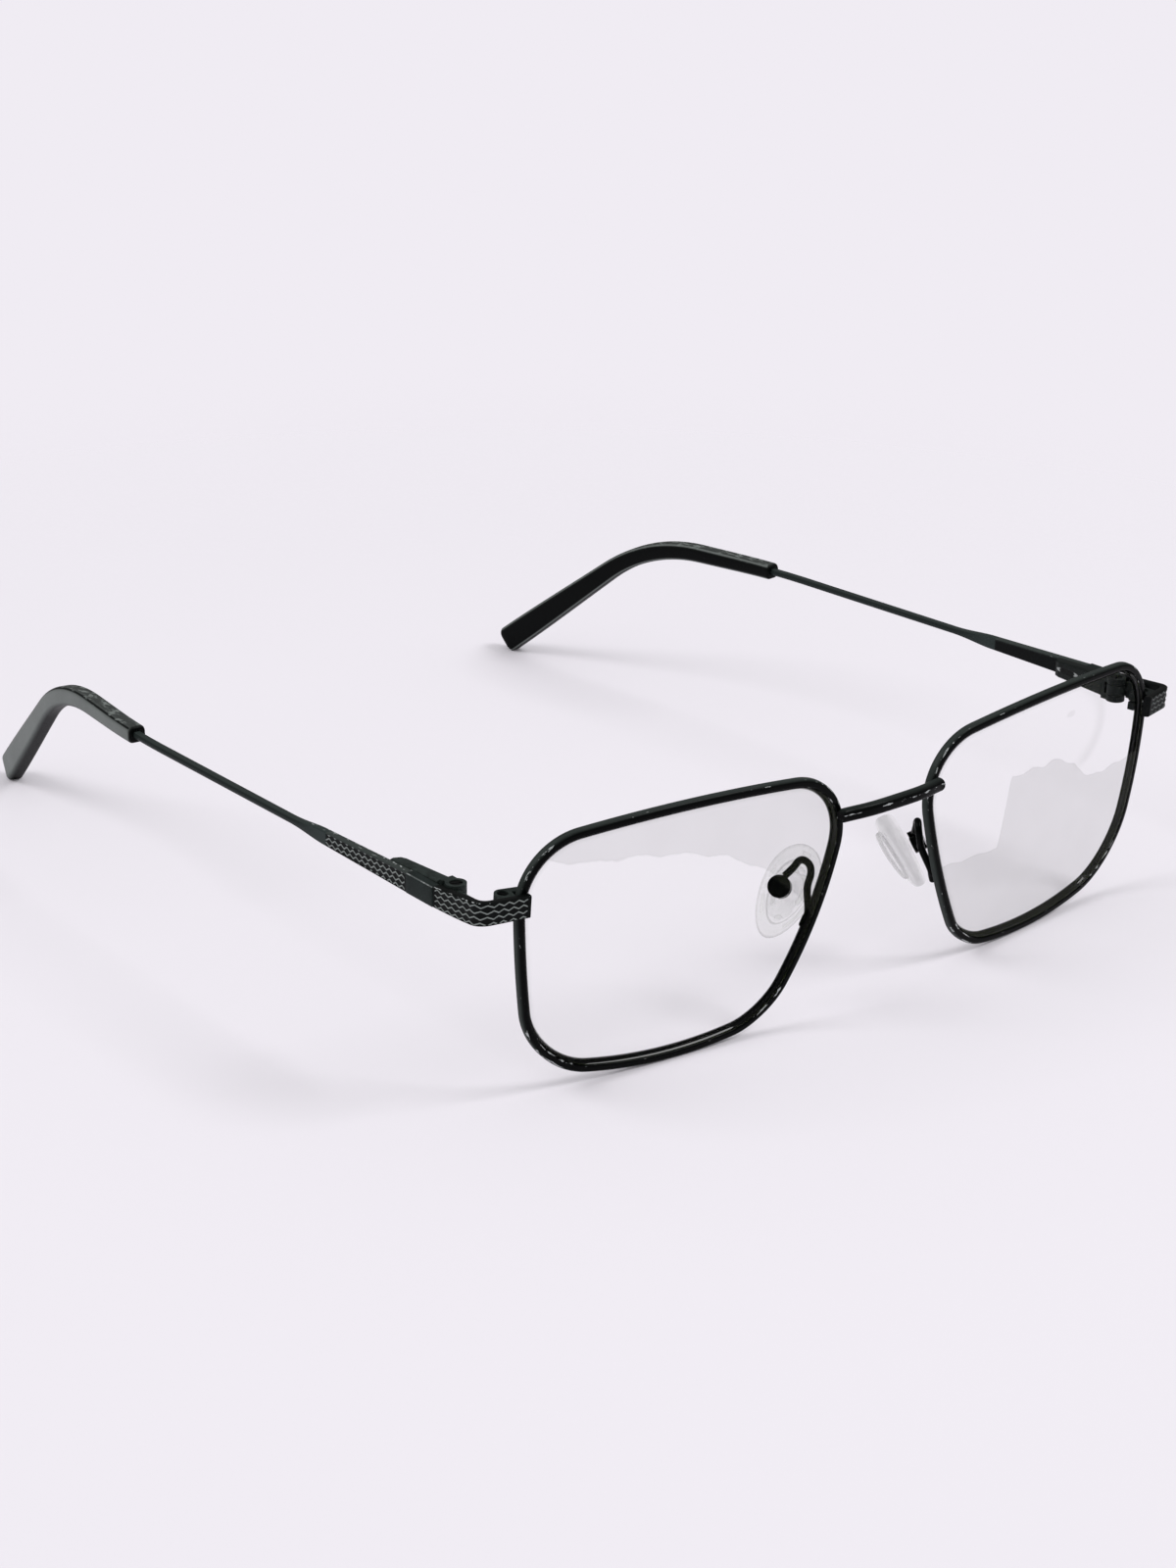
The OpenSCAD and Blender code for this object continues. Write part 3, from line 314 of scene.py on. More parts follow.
class LensOutline:
    """The lens outline, u towards the temple and v up: each edge is its chord plus a parabola, and each
    corner a cubic that starts along one edge and ends along the next. q goes round from 0 to 8."""
    PULL = 0.58      # share of a corner's rounding that its cubic's handles reach
    STEP = 0.002     # in q, to either side of a point whose heading is asked for
    TEMPLE, NASAL, BRIDGE = (1, 3), (5, 7.5), (5, 7.9)    # the q of the sides where heights are looked for

    def __init__(self, s):
        w, h = s.lens_w / 2, s.lens_h / 2
        self.corners = np.array([
            [-w - s.nasal_top_out, h - s.nasal_top_down], [w + s.temple_top_out, h - s.temple_top_down],
            [w - s.temple_low_in, -h + s.temple_low_up], [-w + s.nasal_low_in, -h + s.nasal_low_up]])
        self.rounding = np.array([s.round_nasal_top, s.round_temple_top, s.round_temple_low, s.round_nasal_low])
        self.bows = np.array([s.bow_top, s.bow_temple, s.bow_bottom, s.bow_nasal])
        self.chord = np.roll(self.corners, -1, 0) - self.corners
        size = np.linalg.norm(self.chord, axis=1)
        self.normal = np.stack([-self.chord[:, 1], self.chord[:, 0]], 1) / size[:, None]
        self.start = self.rounding / size
        self.end = 1 - np.roll(self.rounding, -1) / size

    def edge(self, i, s):
        """Points of edge i at the shares s of its chord: the bow is a parabola over it."""
        bow = 4 * self.bows[i] * s * (1 - s)
        return self.corners[i] + self.chord[i] * s[:, None] + self.normal[i] * bow[:, None]

    def along(self, i, s):
        """Heading of edge i at the shares s of its chord."""
        return unit(self.chord[i] + self.normal[i] * (4 * self.bows[i] * (1 - 2 * s))[:, None])

    def at(self, q):
        """Points at q: half of each step of two is an edge, and the other half is the corner after it."""
        q = np.mod(np.atleast_1d(q), 8)
        i = np.minimum((q // 2).astype(int), 3)
        j = (i + 1) % 4
        s = q - 2 * i
        t = np.clip(s - 1, 0, 1)[:, None]
        straight = self.edge(i, mix(self.start[i], self.end[i], np.clip(s, 0, 1)))
        a, d = self.edge(i, self.end[i]), self.edge(j, self.start[j])
        reach = (self.PULL * self.rounding[j])[:, None]
        b = a + self.along(i, self.end[i]) * reach
        c = d - self.along(j, self.start[j]) * reach
        curve = a * (1 - t) ** 3 + 3 * b * (1 - t) ** 2 * t + 3 * c * (1 - t) * t ** 2 + d * t ** 3
        return np.where((s <= 1)[:, None], straight, curve)

    def out(self, q):
        """Outward normal: the heading turned a quarter."""
        t = unit(self.at(q + self.STEP) - self.at(q - self.STEP))
        return np.stack([-t[:, 1], t[:, 0]], 1)

    def find(self, height, side):
        """The q on that side where the outline has that height."""
        q = np.linspace(*side, 4001)
        v = self.at(q)[:, 1]
        order = np.argsort(v)
        return float(np.interp(height, v[order], q[order]))

    def even(self, start, end, count):
        """count values of q from start to end, evenly spaced along the outline."""
        q = np.linspace(start, end, 6001)
        run = run_along(self.at(q))
        return np.interp(np.linspace(0, run[-1], count), run, q)


class Layout:
    """Places of the frame's parts, worked out from the sizes in the same steps as its solids."""
    BRIDGE_LAP = 0.55 * MM    # how far the bridge reaches past the outline
    SKIN = 0.02 * MM          # gap between pieces that are brazed together
    ARM_LAP = 0.15 * MM       # how far the end piece's arm reaches past the rim's inner side
    SPLIT = 0.08 * MM         # gap between the end piece and the temple
    WEB = 0.65 * MM           # length of the fork behind its knuckles
    TIP_BEND = 8 * MM         # reach of the slight bend where the tip begins
    GROOVE_WALL = 0.27 * MM   # least wall of the rim beside its groove
    FOOT_INSET = 0.25 * MM    # distance from the rim's faces to the part of it that rests on the table

    def __init__(self, scene):
        f, t, p = scene.eyeglass_front, scene.eyeglass_temple, scene.eyeglass_pad
        self.f, self.t, self.p = f, t, p
        self.outline = LensOutline(f)
        self.lens_x = f.lens_w / 2 + f.bridge_w / 2
        self.groove_half = min(f.groove, f.rim_d / 2 - self.GROOVE_WALL)
        self.lens_z, self.mid_y = 0.0, 0.0
        rim = self.outline.even(0, 8, 2000)
        foot = f.rim_d / 2 - self.FOOT_INSET
        self.lens_z = -min(self.front(rim, f.rim_w / 2, h)[:, 2].min() for h in (-foot, foot))
        self.bridge_q = self.outline.find(f.bridge_rise, self.outline.BRIDGE)
        end = self.curved(self.outline.at(self.bridge_q), -f.rim_d / 2)[0]
        self.bridge_x = end[0] + self.BRIDGE_LAP
        self.bridge_y = end[1] - f.bridge_d / 2 - self.SKIN
        tip = np.array([[0, self.bridge_y - f.bridge_bow - f.bridge_d / 2, f.bridge_rise + f.bridge_arch]])
        self.lock_q = self.outline.find(f.lock_rise, self.outline.TEMPLE)
        self.lock_at = self.curved(self.outline.at(self.lock_q), 0)[0]
        self.lock_table = self.table(self.lock_at[None])[0]
        self.mid_y = self.table(tip)[0, 1] - CAD_BOX[0].y
        self.strip_out_x = self.lock_at[0] + f.endpiece_out
        self.split_y = self.lock_table[1] + f.endpiece_back
        self.split_z = self.lock_table[2] - f.endpiece_fall
        self.corner = np.array([self.strip_out_x, self.split_y + self.SPLIT, self.split_z])
        self.pin = np.array([-f.strip_t - t.face_play - t.knuckle_r, -self.SPLIT - t.pin_ahead, 0])
        self.bore = t.shank_r + t.pin_play
        self.slide_in = -self.pin[0] - f.strip_t - self.bore - t.case_wall
        self.case_at = t.knuckle_r + t.pin_play + self.WEB + t.face_play
        self.start = self.corner + rotation(2, t.toe_in) @ np.array([-f.strip_t / 2, 0, 0])
        self.run_1 = direction(t.toe_in, t.run_down)
        self.run_2 = direction(t.tip_in, t.tip_down)
        self.run_3 = direction(t.drop_in, t.tip_fall)
        self.ear_at = self.start + self.run_1 * t.shaft_l
        self.bend_at = self.ear_at + self.run_2 * t.ear_l
        self.temple_total = t.shaft_l + t.ear_l + t.drop_l

    def curved(self, uv, h):
        """A point u, v of the lens plane on the front's sphere-like curve, depth h behind it: it sags by the
        squared distance over twice the radius, and turns by the wrap about the vertical."""
        uv = np.atleast_2d(uv)
        f = self.f
        sag = (uv ** 2).sum(1) / (2 * f.base_curve) + h
        return np.stack([self.lens_x + uv[:, 0] * np.cos(f.wrap) - sag * np.sin(f.wrap),
                         uv[:, 0] * np.sin(f.wrap) + sag * np.cos(f.wrap), uv[:, 1]], 1)

    def table(self, p):
        """Front coordinates leaned forward and set on the table."""
        return p @ rotation(0, self.f.tilt).T + np.array([0, -self.mid_y, self.lens_z])

    def front(self, q, e, h):
        """Points moved out by e and back by h from the outline at q, on the table."""
        return self.table(self.curved(self.outline.at(q) + self.outline.out(q) * np.reshape(e, (-1, 1)), h))

    def bridge_at(self, x):
        """The bridge's line at x: it bows and arches by an eased share of 1 less the squared distance from the
        middle."""
        s = ease(1 - (x / self.bridge_x) ** 2)
        return np.stack([x, self.bridge_y - self.f.bridge_bow * s,
                         self.f.bridge_rise + self.f.bridge_arch * s], 1)

    def at_hinge(self, p):
        """Points given from the corner where temple and end piece meet, along the temple."""
        return p @ rotation(2, self.t.toe_in).T + self.corner - np.array([0, self.mid_y, 0])

    def temple_at(self, d):
        """The temple's middle line at distance d: straight runs joined by two parabolas."""
        t = self.t
        d = np.asarray(d, float)[:, None]
        ear, bend = d - t.shaft_l, d - t.shaft_l - t.ear_l

        def bent(at, before, after, reach, x):
            s = np.clip((x + reach) / (2 * reach), 0, 1)
            return (at - before * reach) * (1 - s) ** 2 + at * 2 * s * (1 - s) + (at + after * reach) * s ** 2

        line = np.where(ear < -self.TIP_BEND, self.start + self.run_1 * d,
                        bent(self.ear_at, self.run_1, self.run_2, self.TIP_BEND, ear))
        line = np.where(ear > self.TIP_BEND, self.ear_at + self.run_2 * ear, line)
        line = np.where(bend > -t.bend_reach,
                        bent(self.bend_at, self.run_2, self.run_3, t.bend_reach, bend), line)
        line = np.where(bend > t.bend_reach, self.bend_at + self.run_3 * bend, line)
        return line - np.array([0, self.mid_y, 0])

    def temple_rings(self, d, rings):
        """Rings laid square to the temple's line."""
        step = 0.25 * MM
        return swept(self.temple_at(d), unit(self.temple_at(d + step) - self.temple_at(d - step)), rings)

    def tip_height(self, d):
        """Height of the tip: even growth to the bend, eased growth to the end."""
        t = self.t
        s = d - t.shaft_l
        return np.where(s < t.ear_l, mix(t.tip_front_h, t.tip_bend_h, s / t.ear_l),
                        mix(t.tip_bend_h, t.tip_end_h, ease((s - t.ear_l) / t.drop_l)))

    def pad_place(self):
        """Matrix and origin of the nose pad's own frame."""
        p = self.p
        turn = rotation(2, -p.pad_splay) @ rotation(1, -p.pad_flare) @ rotation(0, p.pad_lean)
        q = self.outline.find(p.pad_box_rise, self.outline.NASAL)
        edge = self.curved(self.outline.at(q), 0)[0]
        return turn, np.array([edge[0] + p.pad_box_out, edge[1] + p.pad_box_back, p.pad_box_rise])


class Field:
    """A value that varies over a surface, held as a node's socket, with arithmetic that adds Math nodes."""

    def __init__(self, nodes, socket):
        self.nodes, self.socket = nodes, socket

    def math(self, operation, *values):
        """The outcome of a Math node on fields or numbers."""
        return self.nodes.node("ShaderNodeMath", {"operation": operation}, dict(enumerate(values)))

    def __add__(self, other):
        return self.math("ADD", self, other)

    def __sub__(self, other):
        return self.math("SUBTRACT", self, other)

    def __rsub__(self, other):
        return self.math("SUBTRACT", other, self)

    def __mul__(self, other):
        return self.math("MULTIPLY", self, other)

    __radd__, __rmul__ = __add__, __mul__

    def sine(self):
        return self.math("SINE", self)

    def bell(self, middle, reach):
        """1 at the middle value, falling smoothly to 0 at the reach on either side."""
        return 1 - (self - middle).distance().step(0, reach)

    def distance(self):
        """The value without its sign."""
        return self.math("ABSOLUTE", self)

    def step(self, low, high):
        """Smooth step from 0 at low to 1 at high."""
        return self.nodes.node("ShaderNodeMapRange", {"interpolation_type": "SMOOTHSTEP"},
                               {"Value": self, "From Min": low, "From Max": high})


class Nodes:
    """The nodes of a material or of the world."""

    def __init__(self, owner):
        owner.use_nodes = True
        self.tree = owner.node_tree
        self.tree.nodes.clear()

    def node(self, kind, settings=None, inputs=None, output=0):
        """Adds one node: its settings first, then the values or links of its sockets. Returns one output."""
        made = self.tree.nodes.new(kind)
        for name, value in (settings or {}).items():
            setattr(made, name, value)
        for name, value in (inputs or {}).items():
            if isinstance(value, Field):
                self.tree.links.new(value.socket, made.inputs[name])
            else:
                made.inputs[name].default_value = value
        return Field(self, made.outputs[output]) if made.outputs else None


class Finish(Nodes):
    """A material and the patterns that its finish is made of."""

    def __init__(self, name):
        self.material = bpy.data.materials.new(name)
        super().__init__(self.material)
        self.place = self.node("ShaderNodeTexCoord", output="Object")

    def noise(self, size, detail=2.0, rough=0.5, stretch=None, place=None):
        """Soft noise from 0 to 1 whose features are about that size across."""
        place = place or self.place
        if stretch:
            place = self.node("ShaderNodeMapping", inputs={"Vector": place, "Scale": stretch})
        return self.node("ShaderNodeTexNoise", inputs={
            "Vector": place, "Scale": 1 / size, "Detail": detail, "Roughness": rough})

    def attribute(self, name):
        """A number stored on the surface's own points."""
        return self.node("ShaderNodeAttribute", {"attribute_name": name}, output="Fac")

    def flow(self):
        """Coordinates that follow a piece, in millimetres: the distance along it and its section's two."""
        return self.node("ShaderNodeCombineXYZ", inputs={
            "X": self.attribute("run"), "Y": self.attribute("side"), "Z": self.attribute("deep")})

    def coordinate(self, axis):
        """One of the three Object coordinates."""
        return self.node("ShaderNodeSeparateXYZ", inputs={0: self.place}, output=axis)

    def left_shade(self, value):
        """1 on the right side of the object, that value on the left side: a factor that paints shade on the left
        side.
        """
        reach = 10 * MM
        return 1 - self.coordinate(0).step(-reach, reach) * (1 - value)

    def blend(self, factor, a, b):
        """Colour a where factor is 0, b where it is 1."""
        inputs = {0: factor}
        for index, value in ((6, a), (7, b)):
            inputs[index] = value if isinstance(value, Field) else (*value, 1)
        return self.node("ShaderNodeMix", {"data_type": "RGBA"}, inputs, output=2)

    def shaded(self, factor, rgb, dark, light):
        """One colour, times dark where factor is 0 and times light where it is 1."""
        return self.blend(factor, level(rgb, dark), level(rgb, light))

    def bump(self, height, depth):
        """Normals from a height field, with its full height in metres."""
        return self.node("ShaderNodeBump", inputs={"Strength": 1.0, "Distance": depth, "Height": height})

    def surface(self, **inputs):
        """The Principled shader and the output."""
        named = {key.replace("_", " ").title().replace("Ior", "IOR"): value for key, value in inputs.items()}
        self.node("ShaderNodeOutputMaterial", inputs={"Surface": self.node("ShaderNodeBsdfPrincipled", inputs=named)})
        return self.material


def level(rgb, factor):
    """A colour made lighter or darker."""
    return tuple(min(1.0, c * factor) for c in rgb)


def gloss_paint(colours):
    """Glossy black paint, painted a dull grey as painted sheen on the faces that look outwards. Where streaky noise
    passes a limit, it is painted pale as painted highlights: the highlight value of a surface is highest on its
    edges and corners, and the streaks run along it."""
    f = Finish("gloss_paint")
    cloud = f.noise(5 * MM, 3)
    streak = f.noise(0.5, 3, 0.65, stretch=(0.26, 1, 1), place=f.flow())
    ripple = f.noise(0.9 * MM, 2, 0.6)
    highlight, outer = f.attribute("highlight"), f.attribute("outer")
    # painted highlights: pale streaks where the noise and the highlight value pass a limit
    painted_glint = (streak + highlight * HIGHLIGHT_GAIN).step(0.735, 0.79)
    # painted sheen: outward faces painted a dull grey, standing for reflected light
    painted_sheen = outer * (0.4 + cloud * 0.5)
    paint = f.blend(painted_sheen, f.shaded(cloud, colours.gloss_black, 0.7, 1.3), colours.sheen_grey)
    return f.surface(
        base_color=f.blend(painted_glint, paint, colours.highlight_pale),
        metallic=painted_glint * 0.3, roughness=0.14 + painted_sheen * 0.3 + cloud * 0.06 + painted_glint * 0.1, coat_weight=colours.gloss,
        coat_roughness=0.08, specular_ior_level=0.035, normal=f.bump(ripple - painted_glint * 0.4, 0.02 * MM))


def matte_relief(colours):
    """Black strip whose raised wavy lines show grey metal, rubbed unevenly, and painted darker on the left side as
    painted shade. Its plain parts are satin grey, its top face is painted lighter as painted sheen, and its edges
    carry painted highlights in short pale strokes."""
    f = Finish("matte_relief")
    rub = f.noise(0.7 * MM, 3, 0.6)
    grain = f.noise(0.09 * MM, 2)
    # painted shade: the wavy lines are painted darker on the left side
    ridge = f.attribute("ridge").step(0.2, 0.8) * (0.66 + rub * 0.6) * f.left_shade(0.5)
    highlight = f.attribute("highlight")
    streak = f.noise(0.45, 2, 0.6, stretch=(0.35, 1, 1), place=f.flow())
    # painted highlights: short pale strokes along the edges
    painted_glint = (streak + highlight * HIGHLIGHT_GAIN).step(0.7, 0.76) * highlight.step(0, 0.3)
    plain = f.attribute("plain") * (0.85 + grain * 0.3)
    # painted sheen: the top face painted a lighter grey
    ground = f.blend(f.attribute("outer") * (0.6 + rub * 0.5), colours.matte_black, colours.sheen_grey)
    return f.surface(
        base_color=f.blend(painted_glint, f.blend(ridge, f.blend(plain, ground, colours.satin_grey), colours.relief_grey),
                           colours.highlight_pale),
        metallic=ridge * 0.2, roughness=0.42 + grain * 0.1 - ridge * 0.06, specular_ior_level=0.08,
        normal=f.bump(grain, 0.006 * MM))


def matte_block(colours):
    """Plain dark block: fine blasted grain, and a faint pale painted highlight line along its upper outer edge."""
    f = Finish("matte_block")
    cloud = f.noise(2.2 * MM, 3)
    grain = f.noise(0.13 * MM, 3, 0.7)
    # painted highlight: a faint pale line along the upper outer edge
    edge_glint = f.attribute("highlight").step(0.25, 0.85) * (0.22 + f.noise(0.9 * MM, 2, 0.6).step(0.5, 0.75) * 0.5)
    speckle = (cloud * 0.3 + grain * 0.7).step(0.3, 0.7)
    return f.surface(
        base_color=f.blend(edge_glint, f.shaded(speckle, colours.block_grey, 0.55, 1.4), colours.highlight_pale),
        roughness=0.46 + cloud * 0.12, specular_ior_level=0.08, normal=f.bump(grain, 0.01 * MM))


def hinge_paint(colours):
    """Satin dark grey of the hinge parts and the rim locks, a little uneven. The left side is painted blacker as
    painted shade. The spring case has a long oval dimple in its inner side, painted darker inside as painted shade,
    with painted highlights at its two ends: the oval is the sum of two squared distances from its middle, each over
    its half size."""
    f = Finish("hinge_paint")
    cloud = f.noise(1.1 * MM, 3, 0.6)
    grain = f.noise(0.1 * MM, 3, 0.7)
    speckle = (cloud * 0.6 + grain * 0.4).step(0.3, 0.7)
    layout = Layout(bpy.context.scene)
    middle = layout.at_hinge(layout.pin + np.array([0, layout.t.case_l * 0.82 + 0.9 * MM, 0.1 * MM]))
    half_l, half_h = 2.9 * MM, 0.55 * MM
    along = (f.coordinate(1) - middle[1]) * (1 / half_l)
    high = (f.coordinate(2) - middle[2]) * (1 / half_h)
    oval = along * along + high * high
    dimple = 1 - oval.step(0.55, 1)
    # painted highlights at the two ends of the dimple
    painted_end_glint = oval.step(0.25, 0.4) * (1 - oval.step(0.55, 0.8)) * along.distance().step(0.45, 0.6) * 0.7
    # painted shade: the left side blacker
    paint = f.blend(f.left_shade(0.35), colours.gloss_black, f.shaded(speckle, colours.hinge_grey, 0.55, 1.35))
    return f.surface(
        # painted shade darkens the inside of the dimple
        base_color=f.blend(painted_end_glint, f.blend(dimple * 0.7, paint, colours.gloss_black), colours.highlight_pale),
        roughness=0.4 + cloud * 0.16, specular_ior_level=0.12, normal=f.bump(grain - dimple * 8, 0.008 * MM))


def dark_screw(colours):
    """Screws: dark blued steel with fine turning lines."""
    f = Finish("dark_screw")
    lines = f.noise(0.05 * MM, 2, stretch=(1, 1, 6))
    return f.surface(
        base_color=f.shaded(lines, colours.screw_dark, 0.5, 1.3),
        metallic=0.35, roughness=0.36 + lines * 0.2, specular_ior_level=0.1, normal=f.bump(lines, 0.003 * MM))


def spring_wire(colours):
    """Springs: drawn steel wire."""
    f = Finish("spring_wire")
    lines = f.noise(0.05 * MM, 2, stretch=(1, 6, 1))
    return f.surface(
        base_color=f.shaded(lines, colours.steel, 0.55, 1),
        metallic=0.95, roughness=0.3 + lines * 0.2, normal=f.bump(lines, 0.003 * MM))


def tip_acetate(colours):
    """Polished black acetate, painted dull grey on its outer side and top as painted sheen, with painted highlight
    flecks near its upper edge, fine pale painted highlight lines along its inner corners and a fine dark line along
    its upper outer corner."""
    f = Finish("tip_acetate")
    cloud = f.noise(7 * MM, 4, 0.6)
    scuff = f.noise(0.3 * MM, 3, 0.7, stretch=(1, 0.4, 1))
    outer, top, line = f.attribute("outer"), f.attribute("top"), f.attribute("line")
    patch = f.noise(0.9 * MM, 3, 0.6, stretch=(1, 0.4, 1)) + top * 0.14
    # painted highlights: pale flecks near the upper edge
    highlight_fleck = patch.step(0.64, 0.78) * (outer * 0.4 + top * 0.6)
    # painted sheen on the outer side and top
    painted_sheen = f.blend(outer * (0.75 + cloud * 0.4) + top * (0.08 + scuff * 0.4), colours.acetate,
                   colours.acetate_sheen)
    # pale painted highlight lines along the inner corners, a dark line along the upper outer corner
    lined = f.blend(line.step(0.2, 1) * 0.8, f.blend((0 - line).step(0.2, 1), painted_sheen, colours.acetate),
                    colours.acetate_sheen)
    return f.surface(
        base_color=f.blend(highlight_fleck, lined, level(colours.acetate_sheen, 1.6)),
        roughness=0.3 + scuff * 0.2, specular_ior_level=0.06, normal=f.bump(scuff, 0.01 * MM))


def clear_silicone(colours):
    """Soft clear silicone: milky, with a grey line of painted shade round its edge, another along the step of its
    face, and blurred pale spots and glints of painted highlight. size grows from 0 at the pad's middle to 1 at its
    edge, and face is 1 on the side that rests on the nose."""
    f = Finish("clear_silicone")
    cloud = f.noise(3 * MM, 1, 0.4)
    size, face = f.attribute("size"), f.attribute("face")
    # painted shade: grey lines round the edge and along the face's step
    outline = size.step(0.94, 1.0)
    step_shade = size.bell(0.68, 0.04) * face
    # painted highlights: glints and pale spots
    glints = (size.bell(0.5, 0.14) + size.bell(0.83, 0.08)) * f.noise(2.2 * MM, 0, 0.4).step(0.42, 0.6) * face
    highlight_spots = cloud.step(0.45, 0.7)
    pale = f.blend(highlight_spots * 0.7 + glints, level(colours.silicone, 1.05), (1, 1, 0.99))
    return f.surface(
        base_color=f.blend(outline * 0.7 + step_shade * 0.75, pale, level(colours.silicone, 0.36)),
        alpha=0.11 + face * 0.04 + outline * 0.18 + step_shade * 0.34 + highlight_spots * 0.08 + glints * 0.4,
        roughness=0.2 + cloud * 0.1, specular_ior_level=0.6)


def pad_plastic(colours):
    """Clear hard core of the nose pads, with pale and grey clouds."""
    f = Finish("pad_plastic")
    cloud = f.noise(2 * MM, 1).step(0.4, 0.6)
    return f.surface(
        base_color=f.shaded(cloud, colours.silicone, 1, 1.25),
        alpha=0.04 + cloud * 0.08, roughness=0.14 + cloud * 0.1, specular_ior_level=0.6)


def lens_plastic(colours):
    """Clear lens: almost all light goes straight through. On its front a faint grey zone lies above a wandering
    line on the right lens and below one on the left. Each line is a polynomial, smooth steps and sines of the
    distance across, in millimetres; its border is a shade darker. The left lens also has a smudge on part of an
    oval and a spot. The bevel and the rim of the back are painted dark, a painted reflection of the black groove."""
    f = Finish("lens_plastic")
    across, height, left = f.attribute("across"), f.attribute("height"), f.attribute("left_side")

    def oval(x, y, wide, high):
        a, b = (across - x) * (1 / wide), (height - y) * (1 / high)
        return a * a + b * b

    dark, front = f.attribute("dark"), f.attribute("front")
    smear = f.noise(7 * MM, 3, 0.55)
    drift = f.noise(2.4 * MM, 2, 0.5) * 0.9
    slope = across * (across * (across * 0.00035 - 0.012) + 0.23)
    right_line = slope + (across * 0.85).sine() * 0.25 + drift + 11.9
    left_line = across.step(-11.2, -9) * 11 - across.step(1, 14) * 6 + (across * 1.1).sine() * 0.2 + drift - 2.9
    inside = (height - right_line) * (1 - left) + (left_line - height) * left
    grey_zone = inside.step(-0.1, 0.15) * (0.85 + smear * 0.3) * front
    border = inside.step(-0.25, -0.05) * (1 - inside.step(0.05, 0.3)) * front
    smudge = (oval(5.8, 12.4, 7.6, 6.6).bell(1, 0.62) * across.step(5.5, 10)
              + oval(4.8, 15.1, 1.5, 0.7).bell(0, 1)) * left * front
    # dark paints the bevel and the back's rim near-black, a painted reflection of the black groove
    alpha = 0.006 + grey_zone * (0.13 + left * 0.025) + border * 0.05 + smudge * 0.09 + dark + smear * 0.01
    return f.surface(
        base_color=f.blend(dark, colours.grey_zone, level(colours.gloss_black, 1.5)), alpha=alpha, roughness=0.06,
        specular_ior_level=0.3)


FINISHES = {
    "rim_metal": gloss_paint, "strip_metal": matte_relief, "block_metal": matte_block,
    "joint_metal": hinge_paint, "screw_steel": dark_screw, "spring_steel": spring_wire,
    "lens": lens_plastic, "silicone": clear_silicone, "pad_core": pad_plastic, "acetate": tip_acetate}


def finish_of(slot):
    """The material of one of the record's slots, made the first time that it is asked for."""
    name = "finish_" + slot
    if name not in bpy.data.materials:
        material = FINISHES[slot](bpy.context.scene.eyeglass_colours)
        material.name = name
    return bpy.data.materials[name]


def closed_faces(rows, cols):
    """Quads between rings of cols points, and a fan at each end to the two points after the rings."""
    i = np.arange(rows * cols).reshape(rows, cols)
    a, b = i[:-1], i[1:]
    quads = np.stack([a, np.roll(a, -1, 1), np.roll(b, -1, 1), b], -1).reshape(-1, 4)
    fans = np.concatenate([
        np.stack([np.full(cols, rows * cols), np.roll(i[0], -1), i[0]], 1),
        np.stack([np.full(cols, rows * cols + 1), i[-1], np.roll(i[-1], -1)], 1)])
    return quads, fans


def volume_of(points, quads, fans):
    """Signed volume: the sum of each triangle's triple product over six."""
    tris = np.concatenate([quads[:, :3], quads[:, [0, 2, 3]], fans])
    a, b, c = (points[tris[:, k]] for k in range(3))
    return np.einsum("ij,ij->i", a, np.cross(b, c)).sum() / 6


def add_piece(name, grid, slot, body, node, values, sharp):
    """A closed piece from rings of points: its finish, the body it rides on, the node it stands for, the values
    at its points and the angle in degrees past which an edge is sharp."""
    rows, cols = grid.shape[:2]
    points = np.concatenate([grid.reshape(-1, 3), grid[:1].mean(1), grid[-1:].mean(1)])
    quads, fans = closed_faces(rows, cols)
    if volume_of(points, quads, fans) < 0:
        quads, fans = quads[:, ::-1], fans[:, ::-1]
    mesh = bpy.data.meshes.new(name)
    mesh.from_pydata(points.tolist(), [], quads.tolist() + fans.tolist())
    for key, field in values.items():
        flat = np.concatenate([field.ravel(), [field[0].mean(), field[-1].mean()]]).astype(np.float32)
        mesh.attributes.new(key, "FLOAT", "POINT").data.foreach_set("value", flat)
    mesh.shade_smooth()
    mesh.set_sharp_from_angle(angle=np.radians(sharp))
    mesh.materials.append(finish_of(slot))
    piece = bpy.data.objects.new(name, mesh)
    bpy.context.scene.collection.objects.link(piece)
    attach(piece, body)
    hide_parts(node)


def flow_values(run, section):
    """Values that let a pattern follow a piece: the distance along it and the two coordinates of its section, in
    millimetres."""
    wide = np.ones((len(run), section.shape[-2]))
    return {"run": wide * run[:, None] / MM, "side": wide * section[..., 0] / MM,
            "deep": wide * section[..., 1] / MM}


